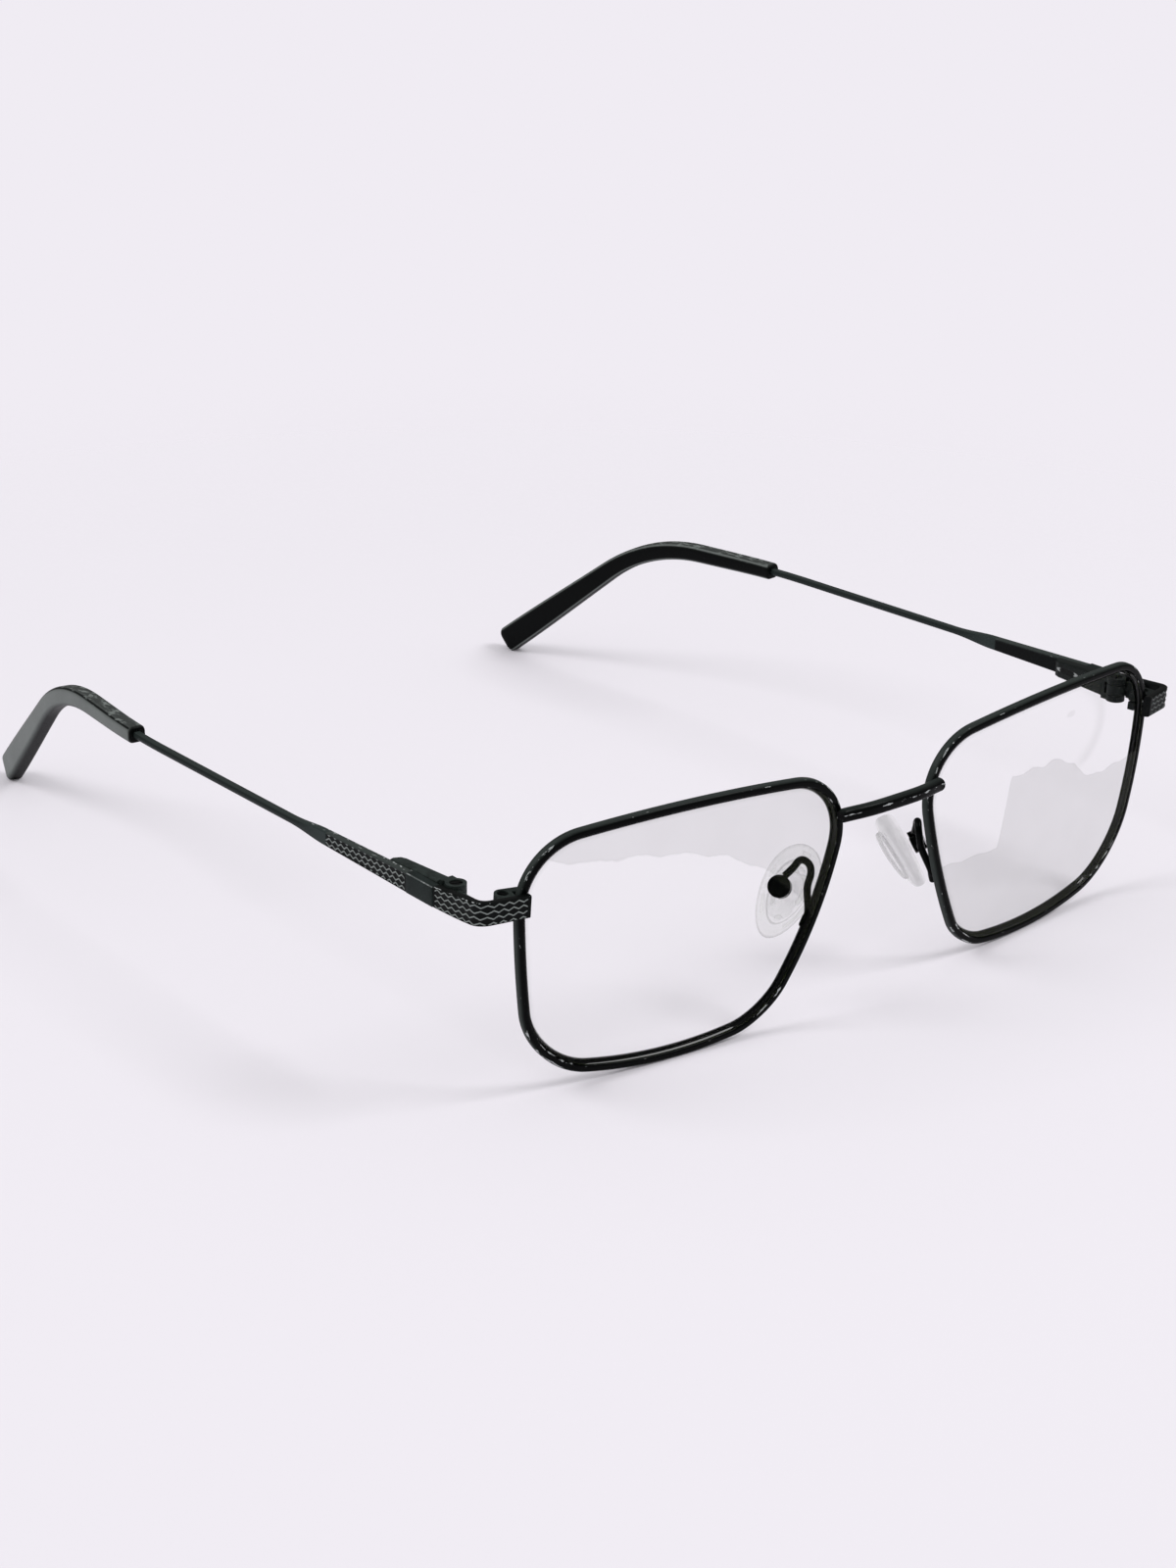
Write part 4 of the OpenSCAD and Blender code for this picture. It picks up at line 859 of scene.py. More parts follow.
def rim_grid(layout):
    """The rim: its section of half width e and depth h carried round the outline, cut at the lock. Its highlight
    value, which places painted highlights, is a half sine over each rounded edge of the section, greatest on the
    front and at the outline's corners. Its outer value, which places painted sheen, is the squared cosine between
    the surface and the way out."""
    f, outline = layout.f, layout.outline
    count, step = 8, 0.01
    half, deep = f.rim_w / 2, layout.groove_half
    ring = rounded_rings(f.rim_w, f.rim_d, f.rim_round, count)[0]
    groove = np.array([[-half, deep], [-half + f.groove, 0], [-half, -deep]])
    section = np.concatenate([ring[:2 * count], groove, ring[2 * count:]])
    speed = np.linalg.norm(outline.at(layout.lock_q + step) - outline.at(layout.lock_q - step)) / (2 * step)
    cut = f.lock_gap / 2 / speed
    q = outline.even(layout.lock_q + cut, layout.lock_q + 8 - cut, 720)
    bend = np.sin(np.pi * np.linspace(0, 1, count))
    lit_edge = np.concatenate([0.7 * bend, 0.6 * bend, np.zeros(len(groove)), 0.9 * bend, bend])
    corner = bell(np.mod(q, 2), 1.5, 0.75)
    facing = np.cos(np.linspace(0, np.pi / 2, count)) ** 2
    outer = np.concatenate([facing, np.zeros(2 * count + len(groove)), facing[::-1]])
    values = flow_values(run_along(outline.at(q)), section)
    # painted highlights on the rounded edges, stronger at the outline's corners; painted sheen on the outer faces
    values["highlight"] = (0.45 + 0.55 * corner)[:, None] * lit_edge
    values["outer"] = np.repeat(outer[None], len(q), 0)
    return np.stack([layout.front(q, e, h) for e, h in section], 1), values


def lens_grid(layout):
    """The lens: the outline shrunk towards its middle on both faces, with a bevelled edge between them.
    Returns the points and their values: the distances across and up, a share that is 1 on the front, and a
    share, for the painted dark ring, that is 1 on the bevel and falls to 0 within the width of its shade on the back."""
    f, outline = layout.f, layout.outline
    half, deep, shade = f.rim_w / 2, layout.groove_half, 0.6 * MM
    q = outline.even(0, 8, 361)[:-1]
    uv, out = outline.at(q), outline.out(q)
    inner = -half - f.lens_play
    front, back = -f.lens_t / 2, f.lens_t / 2
    middle = [(uv + out * inner) * s for s in np.sqrt(np.linspace(0.0004, 0.9, 24))]
    rings = [(p, front, 0) for p in middle]
    # the dark share places the painted reflection of the groove
    rings += [(uv + out * e, h, dark) for e, h, dark in (
        (inner - shade, front, 0), (inner, front, 0.1), (inner, -deep + f.lens_play, 1),
        (-half + f.groove - 1.6 * f.lens_play, 0, 1), (inner, deep - f.lens_play, 1), (inner, back, 1),
        (inner - shade * 2 / 3, back, 0.95), (inner - shade, back, 0))]
    rings += [(p, back, 0) for p in middle[::-1]]
    grid = np.stack([layout.table(layout.curved(p, h)) for p, h, _ in rings])
    flat = np.stack([p for p, _, _ in rings]) / MM
    wide = np.ones(len(q))
    return grid, {"across": flat[..., 0], "height": flat[..., 1],
                  "front": np.array([float(h == front) for _, h, _ in rings])[:, None] * wide,
                  "dark": np.array([float(dark) for _, _, dark in rings])[:, None] * wide}


def bridge_grid(layout):
    """The bridge: a rounded section along a line that bows forward, its ends rounded off by a quarter circle. It
    carries painted highlights along two lines of its front, and painted sheen where it faces up."""
    f = layout.f
    x = np.sin(np.linspace(-np.pi / 2, np.pi / 2, 161))
    path = layout.bridge_at(x * layout.bridge_x)
    end_share, end_size = 0.05, 0.45
    shrink = end_size + (1 - end_size) * dome((1 - np.abs(x)) / end_share)
    rings = rounded_rings(f.bridge_d, f.bridge_h * shrink, 0.46 * f.bridge_d * shrink, 9)
    values = flow_values(x * layout.bridge_x, rings)
    way = unit(rings)
    front, rise = way[..., 0] < 0, way[..., 1]
    # painted highlight lines along the front, and painted sheen on the faces turned up
    values["highlight"] = front * (0.9 * bell(rise, 0.4, 0.25) + 0.5 * bell(rise, -0.8, 0.2))
    values["outer"] = 0.7 * np.clip(rise, 0, 1) ** 6
    return layout.table(swept(path, unit(np.gradient(path, axis=0)), rings)), values


def waves(along, across, lines, wave, swing, thin):
    """Wavy raised lines from 0 to 1, each about its own height: it runs in zigzag along the strip, a sine less a
    ninth of its third harmonic, and neighbours run in opposite phase, so that they bound a chain of lozenges.
    The value is a bell round the nearest line."""
    turn = 2 * np.pi * along / wave
    zigzag = swing * (np.sin(turn) - np.sin(3 * turn) / 9)
    value = np.zeros_like(across)
    for k, middle in enumerate(lines):
        value = np.maximum(value, np.exp(-((across - middle - (-1) ** k * zigzag) / thin) ** 2))
    return value


def strip_ring(thick, high, rounding, count=81, back=9):
    """Section of a flat strip of that thickness and height, the outer face first, its corners quarter circles: x
    is 0 on the outer face and grows inwards, y is the height. Returns the section and a share that is 1 on the
    flat of the outer face."""
    r = rounding
    turn = np.linspace(0, np.pi / 2, 6)[1:]
    face = np.linspace(-high / 2 + r, high / 2 - r, count)
    top_out = np.stack([r - r * np.cos(turn), high / 2 - r + r * np.sin(turn)], 1)
    low_out = top_out[::-1] * [1, -1]
    top_in = np.stack([thick - r + r * np.sin(turn), high / 2 - r + r * np.cos(turn)], 1)
    low_in = top_in[::-1] * [1, -1]
    inner = np.stack([np.full(back, thick), np.linspace(high / 2 - r, -high / 2 + r, back + 2)[1:-1]], 1)
    outer = np.stack([np.zeros(count), face], 1)
    ring = np.concatenate([outer, top_out, top_in, inner, low_in, low_out])
    on_face = np.concatenate([np.ones(count), np.zeros(len(ring) - count)])
    return ring, on_face


def near_corner(ring, x, y, reach):
    """1 at the place x, y of a section, falling to 0 at the reach."""
    return bell(np.hypot(ring[..., 0] - x, ring[..., 1] - y), 0, reach)


def relief_depth(layout, along, height, half, panel, lines, wave, gap, swing, thin):
    """Depth below the outer face and height share of the relief: a sunk field in which wavy lines rise back to
    the face. panel is 1 where the strip carries relief. swing and thin are shares of the gap between lines."""
    margin, fade = 0.03 * MM, 0.08 * MM
    inside = ease((half - margin - np.abs(height)) / fade) * panel
    line = waves(along, height, lines, wave, swing * gap, thin * gap)
    return inside * (1 - line) * layout.t.wave_depth, line * inside


def endpiece_plan(layout):
    """The outer line of the end piece seen from above: an arm, an arc and a straight side. Returns the distance
    along it, its points and the way inwards at each, and the lengths of the arm and the arc."""
    f, splay = layout.f, layout.f.strip_splay
    arm = np.array([np.cos(splay), np.sin(splay)])
    back = np.array([-np.sin(splay), np.cos(splay)])
    inner = layout.curved(layout.outline.at(layout.lock_q)
                          + layout.outline.out(layout.lock_q) * (-f.rim_w / 2), -f.rim_d / 2)[0]
    start = inner[:2] - arm * layout.ARM_LAP - back * (f.strip_t + 2 * layout.SKIN)
    centre_x = layout.strip_out_x - f.corner_r
    centre = np.array([centre_x, start[1] + (centre_x - start[0]) * np.tan(splay) + f.corner_r / np.cos(splay)])
    arm_l = np.linalg.norm(centre - back * f.corner_r - start)
    arc_l = f.corner_r * (np.pi / 2 - splay)
    s = np.linspace(0, arm_l + arc_l + (layout.split_y - centre[1]), 361)
    turn = np.clip((s - arm_l) / f.corner_r, 0, np.pi / 2 - splay) + splay
    heading = np.stack([np.cos(turn), np.sin(turn)], 1)
    inward = np.stack([-np.sin(turn), np.cos(turn)], 1)
    plan = np.where((s <= arm_l)[:, None], start + arm * s[:, None],
                    centre - inward * f.corner_r + heading * np.maximum(s - arm_l - arc_l, 0)[:, None])
    return s, plan, inward, arm_l, arc_l


def endpiece_grid(layout):
    """The end piece: the strip's section set inwards from its plan. It falls towards the hinge, and its lower
    half swells in the corner by a parabola that leans forward. Its height before the front's tilt, z_mid, and
    its height on the table depend on each other, so they are worked out in turn three times, which settles
    them."""
    f, t = layout.f, layout.t
    s, plan, inward, arm_l, arc_l = endpiece_plan(layout)
    total, rounding, square_l, fade = s[-1], 0.22 * MM, 3 * MM, 0.3 * MM
    ring, on_face = strip_ring(f.strip_t, f.strip_h, rounding)
    x_in, height = ring[:, 0], ring[:, 1] / f.strip_h
    square = ease((s - total + square_l) / square_l)[:, None]
    swell_l, lean = 4 * MM, 0.8
    swell_at = layout.lock_table[1] - swell_l
    z_mid = layout.lock_at[2]
    for _ in range(3):
        y_plan = plan[:, None, 1] + inward[:, None, 1] * x_in[None]
        y_plan = y_plan + square * (z_mid - f.lock_rise) * np.tan(f.tilt)
        y_table = y_plan * np.cos(f.tilt) - z_mid * np.sin(f.tilt)
        rise = layout.split_z + f.endpiece_fall * (layout.split_y - y_table) / f.endpiece_back
        ahead = 1 - np.clip((y_table - swell_at) / (layout.split_y - swell_at), 0, 1)
        swell = 4 * ahead * (1 - ahead) * (1 + lean * ahead) / (1 + lean / 2) * f.endpiece_swell
        z_table = rise + height[None] * f.strip_h - swell * np.clip(0.5 - height[None], 0, 1)
        z_mid = (z_table - layout.lens_z - y_plan * np.sin(f.tilt)) / np.cos(f.tilt)
    along = np.repeat((s - np.clip(s - arm_l, 0, arc_l) * f.strip_t / 2 / f.corner_r)[:, None], len(ring), 1)
    low, high = z_table.min(1, keepdims=True), z_table.max(1, keepdims=True)
    half = (high - low) / 2
    first, last, top_line = 0.35 * MM, total - 0.15 * MM, 0.7
    panel = on_face[None] * ease((s - first) / fade)[:, None] * ease((last - s) / fade)[:, None]
    lines = [half * top_line - k * t.corner_gap * half * 2 / f.strip_h for k in range(LINE_COUNT)]
    depth, line = relief_depth(layout, along, z_table - (low + high) / 2, half, panel, lines, t.corner_wave,
                               t.corner_gap, swing=0.21, thin=0.155)
    # painted highlight: a pale line along the upper outer edge, stronger towards the hinge
    lit_edge = near_corner(ring, 0, f.strip_h / 2, rounding) * (0.85 + 0.95 * ease((s / total - 0.5) / 0.2))[:, None]
    x = plan[:, None, 0] + inward[:, None, 0] * (x_in[None] + depth)
    y = plan[:, None, 1] + inward[:, None, 1] * (x_in[None] + depth)
    y_table = y * np.cos(f.tilt) - z_mid * np.sin(f.tilt)
    squeeze = ease((s - arm_l - arc_l) / (total - arm_l - arc_l))[:, None]
    y_table = y_table + squeeze * (layout.split_y - y_table[-1:])
    return np.stack([x, y_table - layout.mid_y, z_table], -1), {"ridge": line, "highlight": lit_edge} | flow_values(s, ring)


def temple_grid(layout):
    """The temple: a tang in the block, a flat blade with relief, a neck that narrows to round wire, and the wire
    to its end in the tip. The section's width and height change along it, and on the neck its shape goes from a
    rounded rectangle to a circle."""
    t = layout.t
    tang_l, tang_t, tang_h, step, fade = 4 * MM, 0.7 * MM, 1.6 * MM, 0.01 * MM, 0.3 * MM
    panel_end = t.block_l + t.panel_l
    wire_at = panel_end + t.neck_l
    d = np.concatenate([
        np.linspace(t.block_l - tang_l, t.block_l + step, 4),
        np.linspace(t.block_l + 2 * step, panel_end, 360),
        np.linspace(panel_end, wire_at, 50)[1:],
        np.linspace(wire_at, layout.temple_total - t.wire_stop, 150)[1:]])
    tang = d < t.block_l + 1.5 * step
    s = np.clip((d - t.block_l) / t.panel_l, 0, 1)
    n = ease((d - panel_end) / t.neck_l)
    wide = np.where(tang, tang_t, mix(t.blade_t, 2 * t.wire_r, n))
    high = np.where(tang, tang_h, mix(mix(t.blade_h, t.blade_end_h, s), 2 * t.wire_r, n))[:, None]
    shape, on_face = strip_ring(1.0, 1.0, 0.1)
    flat = shape - [0.5, 0]
    angles = np.arctan2(flat[:, 1], flat[:, 0])
    circle = np.stack([np.cos(angles), np.sin(angles)], 1) * 0.5
    rings = mix(flat[None], circle[None], n[:, None, None]) * np.stack([wide[:, None], high], 2)
    along = np.repeat((d - t.block_l)[:, None], len(shape), 1)
    first, last, top_inset = t.block_l + 0.3 * MM, panel_end - 0.4 * MM, 0.1 * MM
    panel = on_face[None] * (ease((d - first) / fade) * ease((last - d) / fade))[:, None]
    lines = [high / 2 - top_inset - k * t.wave_gap for k in range(LINE_COUNT)]
    depth, line = relief_depth(layout, along, rings[..., 1], high / 2, panel, lines, t.wave_length, t.wave_gap,
                               swing=0.22, thin=0.17)
    plain = np.repeat((ease((d - panel_end + 0.7 * MM) / fade) * (1 - 0.5 * n))[:, None], len(shape), 1)
    # painted highlight along the upper inner edge of the blade
    lit_edge = near_corner(shape, 1, 0.5, reach=0.16) * (1.15 * (1 - n))[:, None]
    # painted sheen: the top face painted lighter
    outer = ease((shape[:, 1] - 0.36) / 0.1) * (1 - 0.3 * n)[:, None]
    values = {"ridge": line, "plain": plain, "highlight": lit_edge, "outer": outer} | flow_values(d, rings)
    rings[..., 0] += depth
    return layout.temple_rings(d, rings), values


def tip_grid(layout):
    """The temple tip: a rounded section that grows towards its end, with the hole for the wire as its inside.
    Its outer and top values are 1 on those sides; line is 1 along the inner corners and less than 0 along the
    upper outer one."""
    t = layout.t
    first, total = t.shaft_l, layout.temple_total
    last = total - t.wire_stop
    front_round, end_round, count = 0.5 * MM, 1.1 * MM, 9
    hole_d = np.concatenate([[last + 0.1 * MM], np.linspace(last, first, 60)])
    quarter = np.linspace(0, np.pi / 2, count)
    outer_d = np.concatenate([
        first + front_round * (1 - np.cos(quarter)),
        np.linspace(first + front_round, total - end_round, 240)[1:-1],
        total - end_round * (1 - np.sin(quarter))])
    hole_r, nearly = t.wire_r + layout.SKIN, 0.999
    hole = rounded_rings(np.full(len(hole_d), 2 * hole_r), 2 * hole_r, hole_r * nearly, count)

    def cut(x, r):
        x = np.clip(x, 0, r)
        return r - np.sqrt(r * r - (r - x) ** 2)

    trim = cut(total - outer_d, end_round) + cut(outer_d - first, front_round)
    w = t.tip_t - 0.8 * trim
    h = layout.tip_height(outer_d) - 2 * trim
    outer = rounded_rings(w, h, np.minimum(0.85 * MM, np.minimum(0.4 * w, 0.4 * h)), count)
    turn = (quarter + np.arange(4)[:, None] * np.pi / 2).ravel()
    body = ease((outer_d - first) / (0.6 * MM))[:, None]
    # line and the outer and top values place painted highlight lines and painted sheen on the tip
    line = np.where(np.cos(turn) > 0, 1.0, np.where(np.sin(turn) > 0, -1, 0)) * bell(np.abs(np.sin(2 * turn)), 1, 0.2)
    values = {"outer": np.clip(-np.cos(turn), 0, 1) ** 2 * body, "top": np.clip(np.sin(turn), 0, 1) ** 2 * body,
              "line": line * body}
    values = {key: np.concatenate([np.zeros(hole.shape[:2]), value]) for key, value in values.items()}
    return layout.temple_rings(np.concatenate([hole_d, outer_d]), np.concatenate([hole, outer])), values


def pad_arm_grid(layout):
    """The pad arm: a round wire along a smooth curve from its foot on the rim round a loop to the pad box. Its
    foot is rounded off by a quarter circle."""
    f, p = layout.f, layout.p
    turn, at = layout.pad_place()

    def foot(height):
        q = layout.outline.find(height, layout.outline.NASAL)
        return layout.curved(layout.outline.at(q), f.rim_d / 2 + p.arm_r + layout.SKIN)[0]

    points = [foot(height * MM) for height in (-5.6, -4.45, -3.3)]
    points += [at + np.array(v) * MM for v in (
        (-2.25, -3.3, 0.6), (-2.85, -3.15, 2.6), (-2.85, -2.75, 3.9), (-2.3, -2, 4.55), (-1.9, -1.4, 4.25),
        (-1.45, -0.95, 3.2))]
    points.append(at + turn @ np.array([0.4 * MM, 0, p.box_r + 0.12 * MM]))
    path = smooth_path(points, 24)
    end_l, end_size = 0.3 * MM, 0.6
    radius = p.arm_r * (end_size + (1 - end_size) * dome(run_along(path) / end_l))
    return layout.table(swept(path, unit(np.gradient(path, axis=0)), round_rings(radius, 24), (1, 0.2, 0))), {}


def nose_pad_grid(layout):
    """The nose pad: ovals whose size and depth follow a smooth profile from the middle of the back over the
    edge and a low step to the middle of the face. They are wider at the foot, and thicker towards the top.
    Returns the points and their values: the oval's size, and a share that is 1 on the face."""
    p = layout.p
    profile = smooth_path([(0.02, 0), (0.45, 0), (0.86, 0.01), (0.96, 0.12), (1, 0.35), (0.985, 0.6),
                           (0.93, 0.72), (0.82, 0.76), (0.7, 0.78), (0.66, 0.96), (0.56, 1), (0.02, 1)], 7)
    a = np.linspace(0, 2 * np.pi, 96, endpoint=False)
    size, depth = profile[:, 0:1], profile[:, 1:2]
    back, shift, drop = 1.33 * MM, 0.8 * MM, 0.1 * MM
    x = -back - p.pad_t * depth * (1 + 0.2 * size * np.cos(a))
    y = size * p.pad_w / 2 * np.sin(a) * (1 + 0.17 * np.cos(a)) - shift
    z = size * p.pad_l / 2 * np.cos(a) - drop
    turn, at = layout.pad_place()
    values = {"size": np.repeat(size, len(a), 1), "face": np.repeat((depth > 0.5) * 1.0, len(a), 1)}
    return layout.table(np.stack([x, y, z], -1) @ turn.T + at), values


def boxed_rings(y, low_x, high_x, half_z, rounding, corner=6):
    """Rounded rectangles between low_x and high_x and over twice half_z, one at each y."""
    rings = rounded_rings(high_x - low_x, 2 * half_z, rounding, corner)
    x = rings[..., 0] + ((high_x + low_x) / 2)[:, None]
    return np.stack([x, np.repeat(y[:, None], x.shape[1], 1), rings[..., 1]], -1)


def block_grid(layout):
    """The plain block: a rounded rectangle drawn along the temple, its ends rounded off by a quarter circle. It
    carries a painted highlight along its upper outer edge."""
    f, t = layout.f, layout.t
    r = 0.22 * MM
    quarter = np.linspace(0, 1, 7) * np.pi / 2
    y = np.concatenate([r * (1 - np.cos(quarter)), np.linspace(r, t.block_l - r, 12)[1:-1],
                        t.block_l - r + r * np.sin(quarter)])
    inset = np.concatenate([r * (1 - np.sin(quarter)), np.zeros(10), r * (1 - np.cos(quarter))])
    rings = boxed_rings(y, -f.strip_t + inset, t.block_proud - inset, t.block_h / 2 - inset, r + 0.05 * MM)
    edge_in = 0.07 * MM
    lit_edge = near_corner(rings[..., ::2], t.block_proud - edge_in, t.block_h / 2 - edge_in, reach=0.2 * MM)
    return layout.at_hinge(rings), {"highlight": 0.95 * lit_edge}


def case_grid(layout):
    """The spring case: a rounded rectangle drawn along the temple. Its inner side follows straight lines between
    stops, its height tapers, and its ends are rounded off by a quarter circle."""
    f, t = layout.f, layout.t
    stops = np.array([0, 0.12, 0.25, 9.6, 10.4, 11]) * MM
    wall = layout.bore + t.case_wall
    inner = np.array([wall + 0.2 * MM, wall + 0.38 * MM, wall + 0.45 * MM, wall, wall - 0.3 * MM, -0.5 * MM])
    y = np.unique(np.concatenate([np.linspace(0, t.case_l, 70), stops]))
    low = layout.slide_in - np.interp(y, stops, inner)
    high = np.full(len(y), -layout.pin[0] - f.strip_t - layout.SKIN)
    half = mix(t.case_h, t.case_h - 0.8 * MM, y / t.case_l) / 2
    trim = 0.18 * MM * (1 - dome(np.minimum(y, t.case_l - y) / (0.2 * MM)))
    rings = boxed_rings(y + layout.case_at, low + trim, high - trim, half - trim, 0.3 * MM)
    return layout.at_hinge(rings + layout.pin), {}


def spring_grid(layout):
    """The coil spring: a round wire along a helix about the slider's rod. It climbs a little slower at its ends,
    where its turns close up."""
    t = layout.t
    chamber = layout.case_at + 3.2 * MM
    low = chamber + t.slider_travel + 2 * t.face_play + t.spring_wire / 2
    high = chamber + t.face_play + t.case_l - 5.8 * MM - t.spring_wire / 2
    turns, steps = 14, 28
    s = np.linspace(0, 1, turns * steps + 1)
    turn = 2 * np.pi * turns * s
    r = t.rod_r + t.pin_play + t.spring_wire / 2
    path = np.stack([layout.slide_in + r * np.cos(turn), mix(low, high, mix(ease(s), s, 0.8)), r * np.sin(turn)], 1)
    rings = round_rings(np.full(len(path), t.spring_wire / 2), 8)
    return layout.at_hinge(swept(path, unit(np.gradient(path, axis=0)), rings, (0, 1, 0)) + layout.pin), {}


def add_pairs(context, *rows, on_side=lambda values, sign: values):
    """Adds the right and the left piece of each row: its name, the function of the left one's points and values,
    its slot, its body, the node that it stands for and the angle past which its edges are sharp. {} stands for
    the side. on_side gives the values on one side, where sign is -1 for the right and 1 for the left. Returns
    what an operator's execute has to return."""
    layout = Layout(context.scene)
    shapes = [row[1](layout) for row in rows]
    for side, sign in SIDES.items():
        for (name, _, slot, body, node, sharp), (grid, values) in zip(rows, shapes):
            add_piece(name.format(side), grid * np.array([sign, 1, 1]), slot, body.format(side),
                      node.format(side), on_side(values, sign), sharp)
    return {"FINISHED"}


class EYEGLASS_OT_rims(bpy.types.Operator):
    """Build both rims."""
    bl_idname = "eyeglass.rims"
    bl_label = "Rims"

    def execute(self, context):
        return add_pairs(context, ("rim_wire_{}", rim_grid, "rim_metal", "front", "rim_{}", 35))


class EYEGLASS_OT_lenses(bpy.types.Operator):
    """Build both lenses. Their grey zones differ from side to side."""
    bl_idname = "eyeglass.lenses"
    bl_label = "Lenses"

    def execute(self, context):
        return add_pairs(
            context, ("clear_lens_{}", lens_grid, "lens", "front", "lens_{}", 50),
            on_side=lambda values, sign: values | {"left_side": np.full(values["dark"].shape, float(sign > 0))})


class EYEGLASS_OT_bridge(bpy.types.Operator):
    """Build the bridge bar."""
    bl_idname = "eyeglass.bridge"
    bl_label = "Bridge"

    def execute(self, context):
        grid, values = bridge_grid(Layout(context.scene))
        add_piece("bridge_bar", grid, "rim_metal", "front", "bridge", values, 35)
        return {"FINISHED"}


class EYEGLASS_OT_end_pieces(bpy.types.Operator):
    """Build both end pieces with their wavy relief."""
    bl_idname = "eyeglass.end_pieces"
    bl_label = "End pieces"

    def execute(self, context):
        return add_pairs(context, ("end_strip_{}", endpiece_grid, "strip_metal", "front", "endpiece_{}", 60))


class EYEGLASS_OT_temples(bpy.types.Operator):
    """Build both temples with their wavy relief. The left one has fainter painted highlights."""
    bl_idname = "eyeglass.temples"
    bl_label = "Temples"

    def execute(self, context):
        return add_pairs(
            context, ("temple_strip_{}", temple_grid, "strip_metal", "temple_{}", "temple_{}", 60),
            # painted highlights are fainter on the left temple
            on_side=lambda values, sign: values | {"highlight": values["highlight"] * (0.2 if sign > 0 else 1)})


class EYEGLASS_OT_tips(bpy.types.Operator):
    """Build both temple tips."""
    bl_idname = "eyeglass.tips"
    bl_label = "Temple tips"

    def execute(self, context):
        return add_pairs(context, ("ear_tip_{}", tip_grid, "acetate", "temple_{}", "temple_tip_{}", 35))


class EYEGLASS_OT_pad_arms(bpy.types.Operator):
    """Build both pad arms."""
    bl_idname = "eyeglass.pad_arms"
    bl_label = "Pad arms"

    def execute(self, context):
        return add_pairs(context, ("pad_wire_{}", pad_arm_grid, "rim_metal", "front", "pad_arm_{}", 35))


class EYEGLASS_OT_nose_pads(bpy.types.Operator):
    """Build both nose pads."""
    bl_idname = "eyeglass.nose_pads"
    bl_label = "Nose pads"

    def execute(self, context):
        return add_pairs(context, ("silicone_pad_{}", nose_pad_grid, "silicone", "pad_{}", "nose_pad_{}", 80))


class EYEGLASS_OT_hinges(bpy.types.Operator):
    """Build the blocks, spring cases and springs of both hinges."""
    bl_idname = "eyeglass.hinges"
    bl_label = "Hinges"

    def execute(self, context):
        return add_pairs(
            context, ("plain_block_{}", block_grid, "block_metal", "temple_{}", "hinge_block_{}", 35),
            ("case_shell_{}", case_grid, "joint_metal", "temple_{}", "spring_case_{}", 35),
            ("coil_spring_{}", spring_grid, "spring_steel", "slider_{}", "hinge_spring_{}", 80))


class EYEGLASS_OT_solids(bpy.types.Operator):
    """Give the finishes to the solids that stay in view."""
    bl_idname = "eyeglass.solids"
    bl_label = "Finish the solids"

    def execute(self, context):
        for part in frame["record"]["subparts"]:
            for held in frame["nodes"][part["node"]].material_slots:
                held.material = finish_of(part["material_slot"])
        return {"FINISHED"}


def stand(name, data, axes, place):
    """An object in the scene at that place, its own axes being the columns of axes."""
    holder = bpy.data.objects.new(name, data)
    holder.matrix_world = Matrix([[*row, p] for row, p in zip(axes, place)] + [[0, 0, 0, 1]])
    bpy.context.scene.collection.objects.link(holder)
    return holder


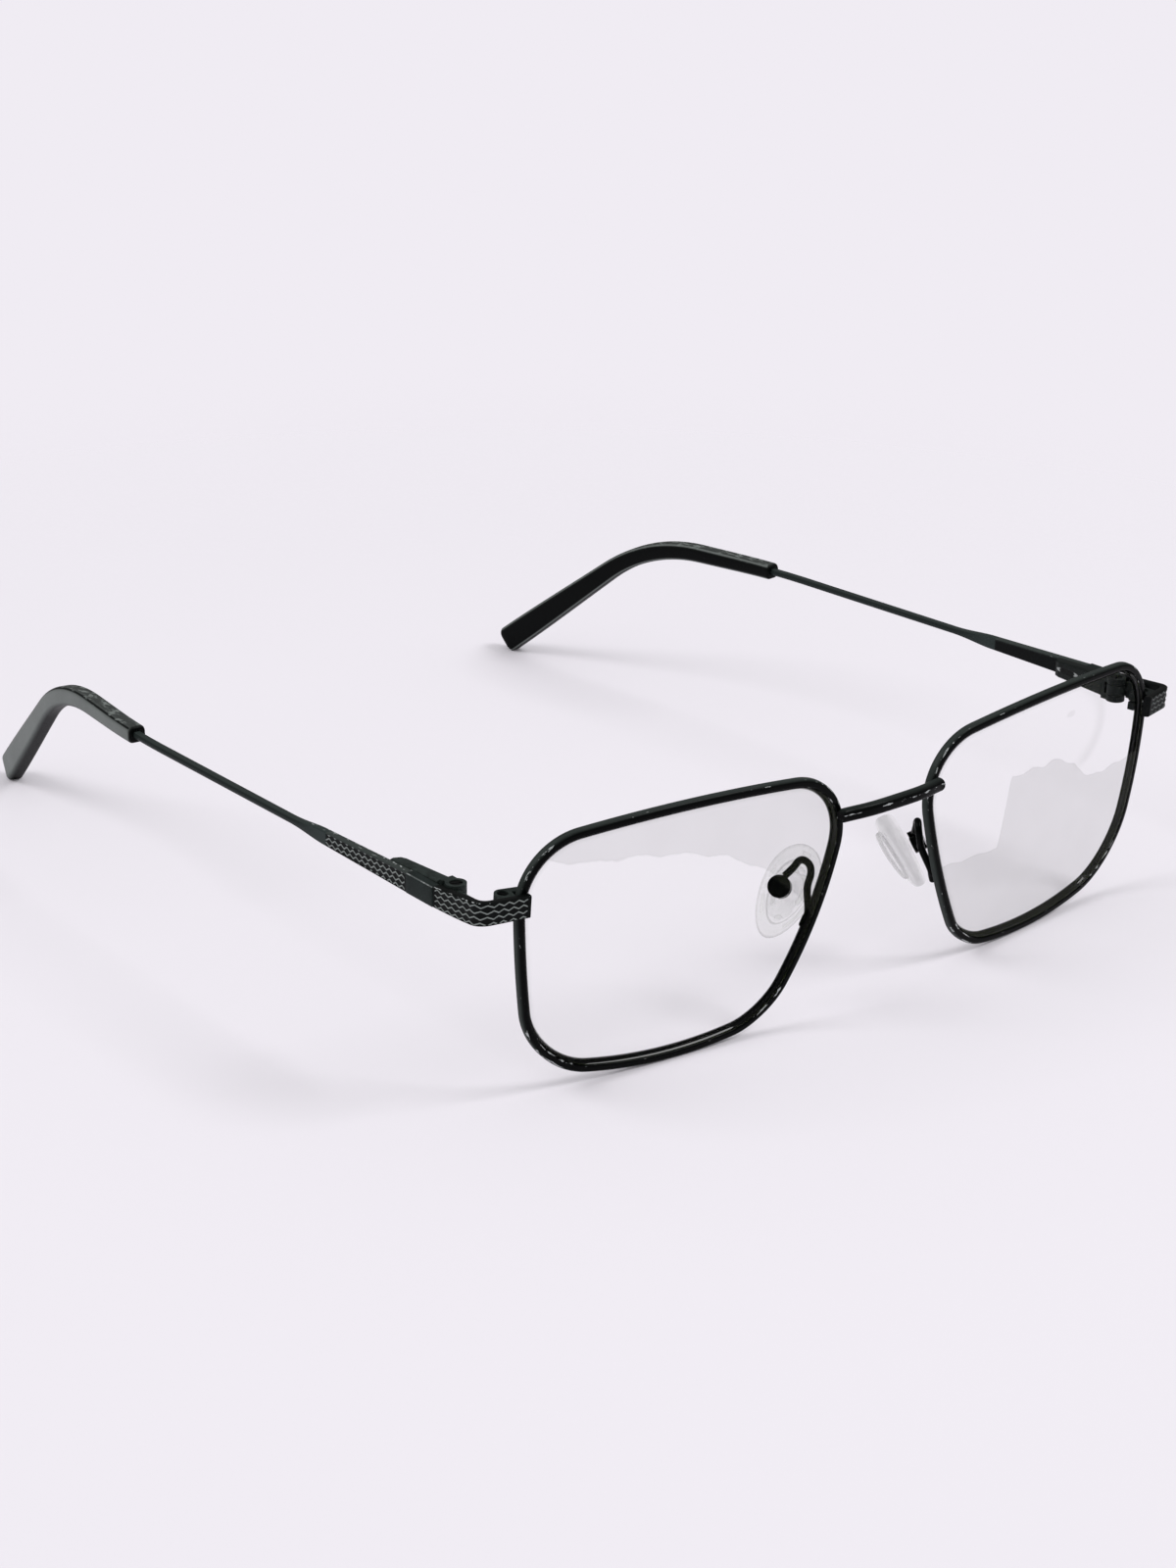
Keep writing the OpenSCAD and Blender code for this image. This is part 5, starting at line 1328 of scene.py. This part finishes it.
class EYEGLASS_OT_stage(bpy.types.Operator):
    """Build the floor, the lights, the backdrop and the camera."""
    bl_idname = "eyeglass.stage"
    bl_label = "Stage"

    def execute(self, context):
        colours = context.scene.eyeglass_colours
        self.add_floor(context.scene, colours)
        self.add_world(context.scene, colours)
        self.add_lamp("key_lamp", (0.72, -0.8, 1.18), size=0.6, power=8)
        self.add_lamp("fill_lamp", (-0.9, 0.5, 1.1), size=0.7, power=5.5)
        self.add_camera(context.scene)
        return {"FINISHED"}

    @staticmethod
    def add_floor(scene, colours):
        """A pale floor that fades out into the backdrop with the distance from the object."""
        far, z = 6.0, -0.02 * MM
        mesh = bpy.data.meshes.new("floor")
        mesh.from_pydata([(-far, -far, z), (far, -far, z), (far, far, z), (-far, far, z)], [], [(0, 1, 2, 3)])
        f = Finish("floor_paper")
        mottle = f.noise(60 * MM, 2)
        away = f.node("ShaderNodeVectorMath", {"operation": "LENGTH"}, {0: f.place}, output="Value")
        solid, gone = 0.13, 0.32
        mesh.materials.append(f.surface(
            base_color=f.shaded(mottle, colours.floor, 0.992, 1),
            alpha=1 - away.step(solid, gone), roughness=0.9, specular_ior_level=0.1))
        floor = bpy.data.objects.new("floor", mesh)
        scene.collection.objects.link(floor)

    @staticmethod
    def add_world(scene, colours):
        """Soft light from all round, dimmer in reflections, with the backdrop's colour for the camera."""
        light, reflected = 0.62, 0.2
        world = bpy.data.worlds.new("studio")
        w = Nodes(world)
        strength = w.node("ShaderNodeMapRange", inputs={
            "Value": w.node("ShaderNodeLightPath", output="Is Glossy Ray"), "To Min": light, "To Max": reflected})
        soft = w.node("ShaderNodeBackground", inputs={"Color": (1, 1, 1, 1), "Strength": strength})
        shown = w.node("ShaderNodeBackground", inputs={"Color": (*colours.backdrop, 1)})
        seen = w.node("ShaderNodeLightPath", output="Is Camera Ray")
        w.node("ShaderNodeOutputWorld", inputs={
            "Surface": w.node("ShaderNodeMixShader", inputs={0: seen, 1: soft, 2: shown})})
        scene.world = world

    @staticmethod
    def add_lamp(name, place, size, power):
        """A round lamp that points at the origin."""
        lamp = bpy.data.lights.new(name, "AREA")
        lamp.shape, lamp.size, lamp.energy = "DISK", size, power
        back = unit(np.array(place, float))
        right = unit(np.cross((0, 0, 1), back))
        stand(name, lamp, np.stack([right, np.cross(back, right), back], 1), place)

    @staticmethod
    def add_camera(scene):
        """The camera stands where the photograph was taken from, with a slight roll."""
        turn, rise, roll = np.radians((-40.174, 21.761, 0.85))
        back = np.array([np.sin(turn) * np.cos(rise), -np.cos(turn) * np.cos(rise), np.sin(rise)])
        right = np.array([np.cos(turn), np.sin(turn), 0])
        up = np.cross(back, right)
        c, s = np.cos(roll), np.sin(roll)
        axes = np.stack([c * right + s * up, c * up - s * right, back], 1)
        camera = bpy.data.cameras.new("camera")
        camera.sensor_width, camera.lens = 36, 73.246
        camera.clip_start, camera.clip_end = 0.01, 50
        scene.camera = stand("camera", camera, axes, (-0.30837, -0.37557, 0.20394))


BUILD_STEPS = (EYEGLASS_OT_rims, EYEGLASS_OT_lenses, EYEGLASS_OT_bridge, EYEGLASS_OT_end_pieces,
               EYEGLASS_OT_temples, EYEGLASS_OT_tips, EYEGLASS_OT_pad_arms, EYEGLASS_OT_nose_pads,
               EYEGLASS_OT_hinges, EYEGLASS_OT_solids, EYEGLASS_OT_stage)


class EYEGLASS_PT_panel(bpy.types.Panel):
    """Buttons for each piece, and the sizes and colours."""
    bl_idname = "EYEGLASS_PT_panel"
    bl_label = "Eyeglass Frame"
    bl_space_type = "VIEW_3D"
    bl_region_type = "UI"
    bl_category = "Eyeglasses"

    def draw(self, context):
        for step in BUILD_STEPS:
            self.layout.operator(step.bl_idname)
        for group in (context.scene.eyeglass_front, context.scene.eyeglass_temple, context.scene.eyeglass_pad,
                      context.scene.eyeglass_colours):
            box = self.layout.box()
            for name in group.bl_rna.properties.keys():
                if name not in ("rna_type", "name"):
                    box.prop(group, name)


GROUPS = {"eyeglass_front": FrontSizes, "eyeglass_temple": TempleSizes, "eyeglass_pad": PadSizes,
          "eyeglass_colours": Colours}
CLASSES = (*GROUPS.values(), *BUILD_STEPS, EYEGLASS_PT_panel)


def register():
    for cls in CLASSES:
        bpy.utils.register_class(cls)
    for name, group in GROUPS.items():
        setattr(bpy.types.Scene, name, PointerProperty(type=group))


def unregister():
    for name in GROUPS:
        delattr(bpy.types.Scene, name)
    for cls in reversed(CLASSES):
        bpy.utils.unregister_class(cls)


def main():
    """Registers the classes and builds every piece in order."""
    register()
    bpy.context.scene.view_settings.view_transform = "Standard"
    for step in BUILD_STEPS:
        group, name = step.bl_idname.split(".")
        getattr(getattr(bpy.ops, group), name)()


if __name__ == "__main__":
    main()
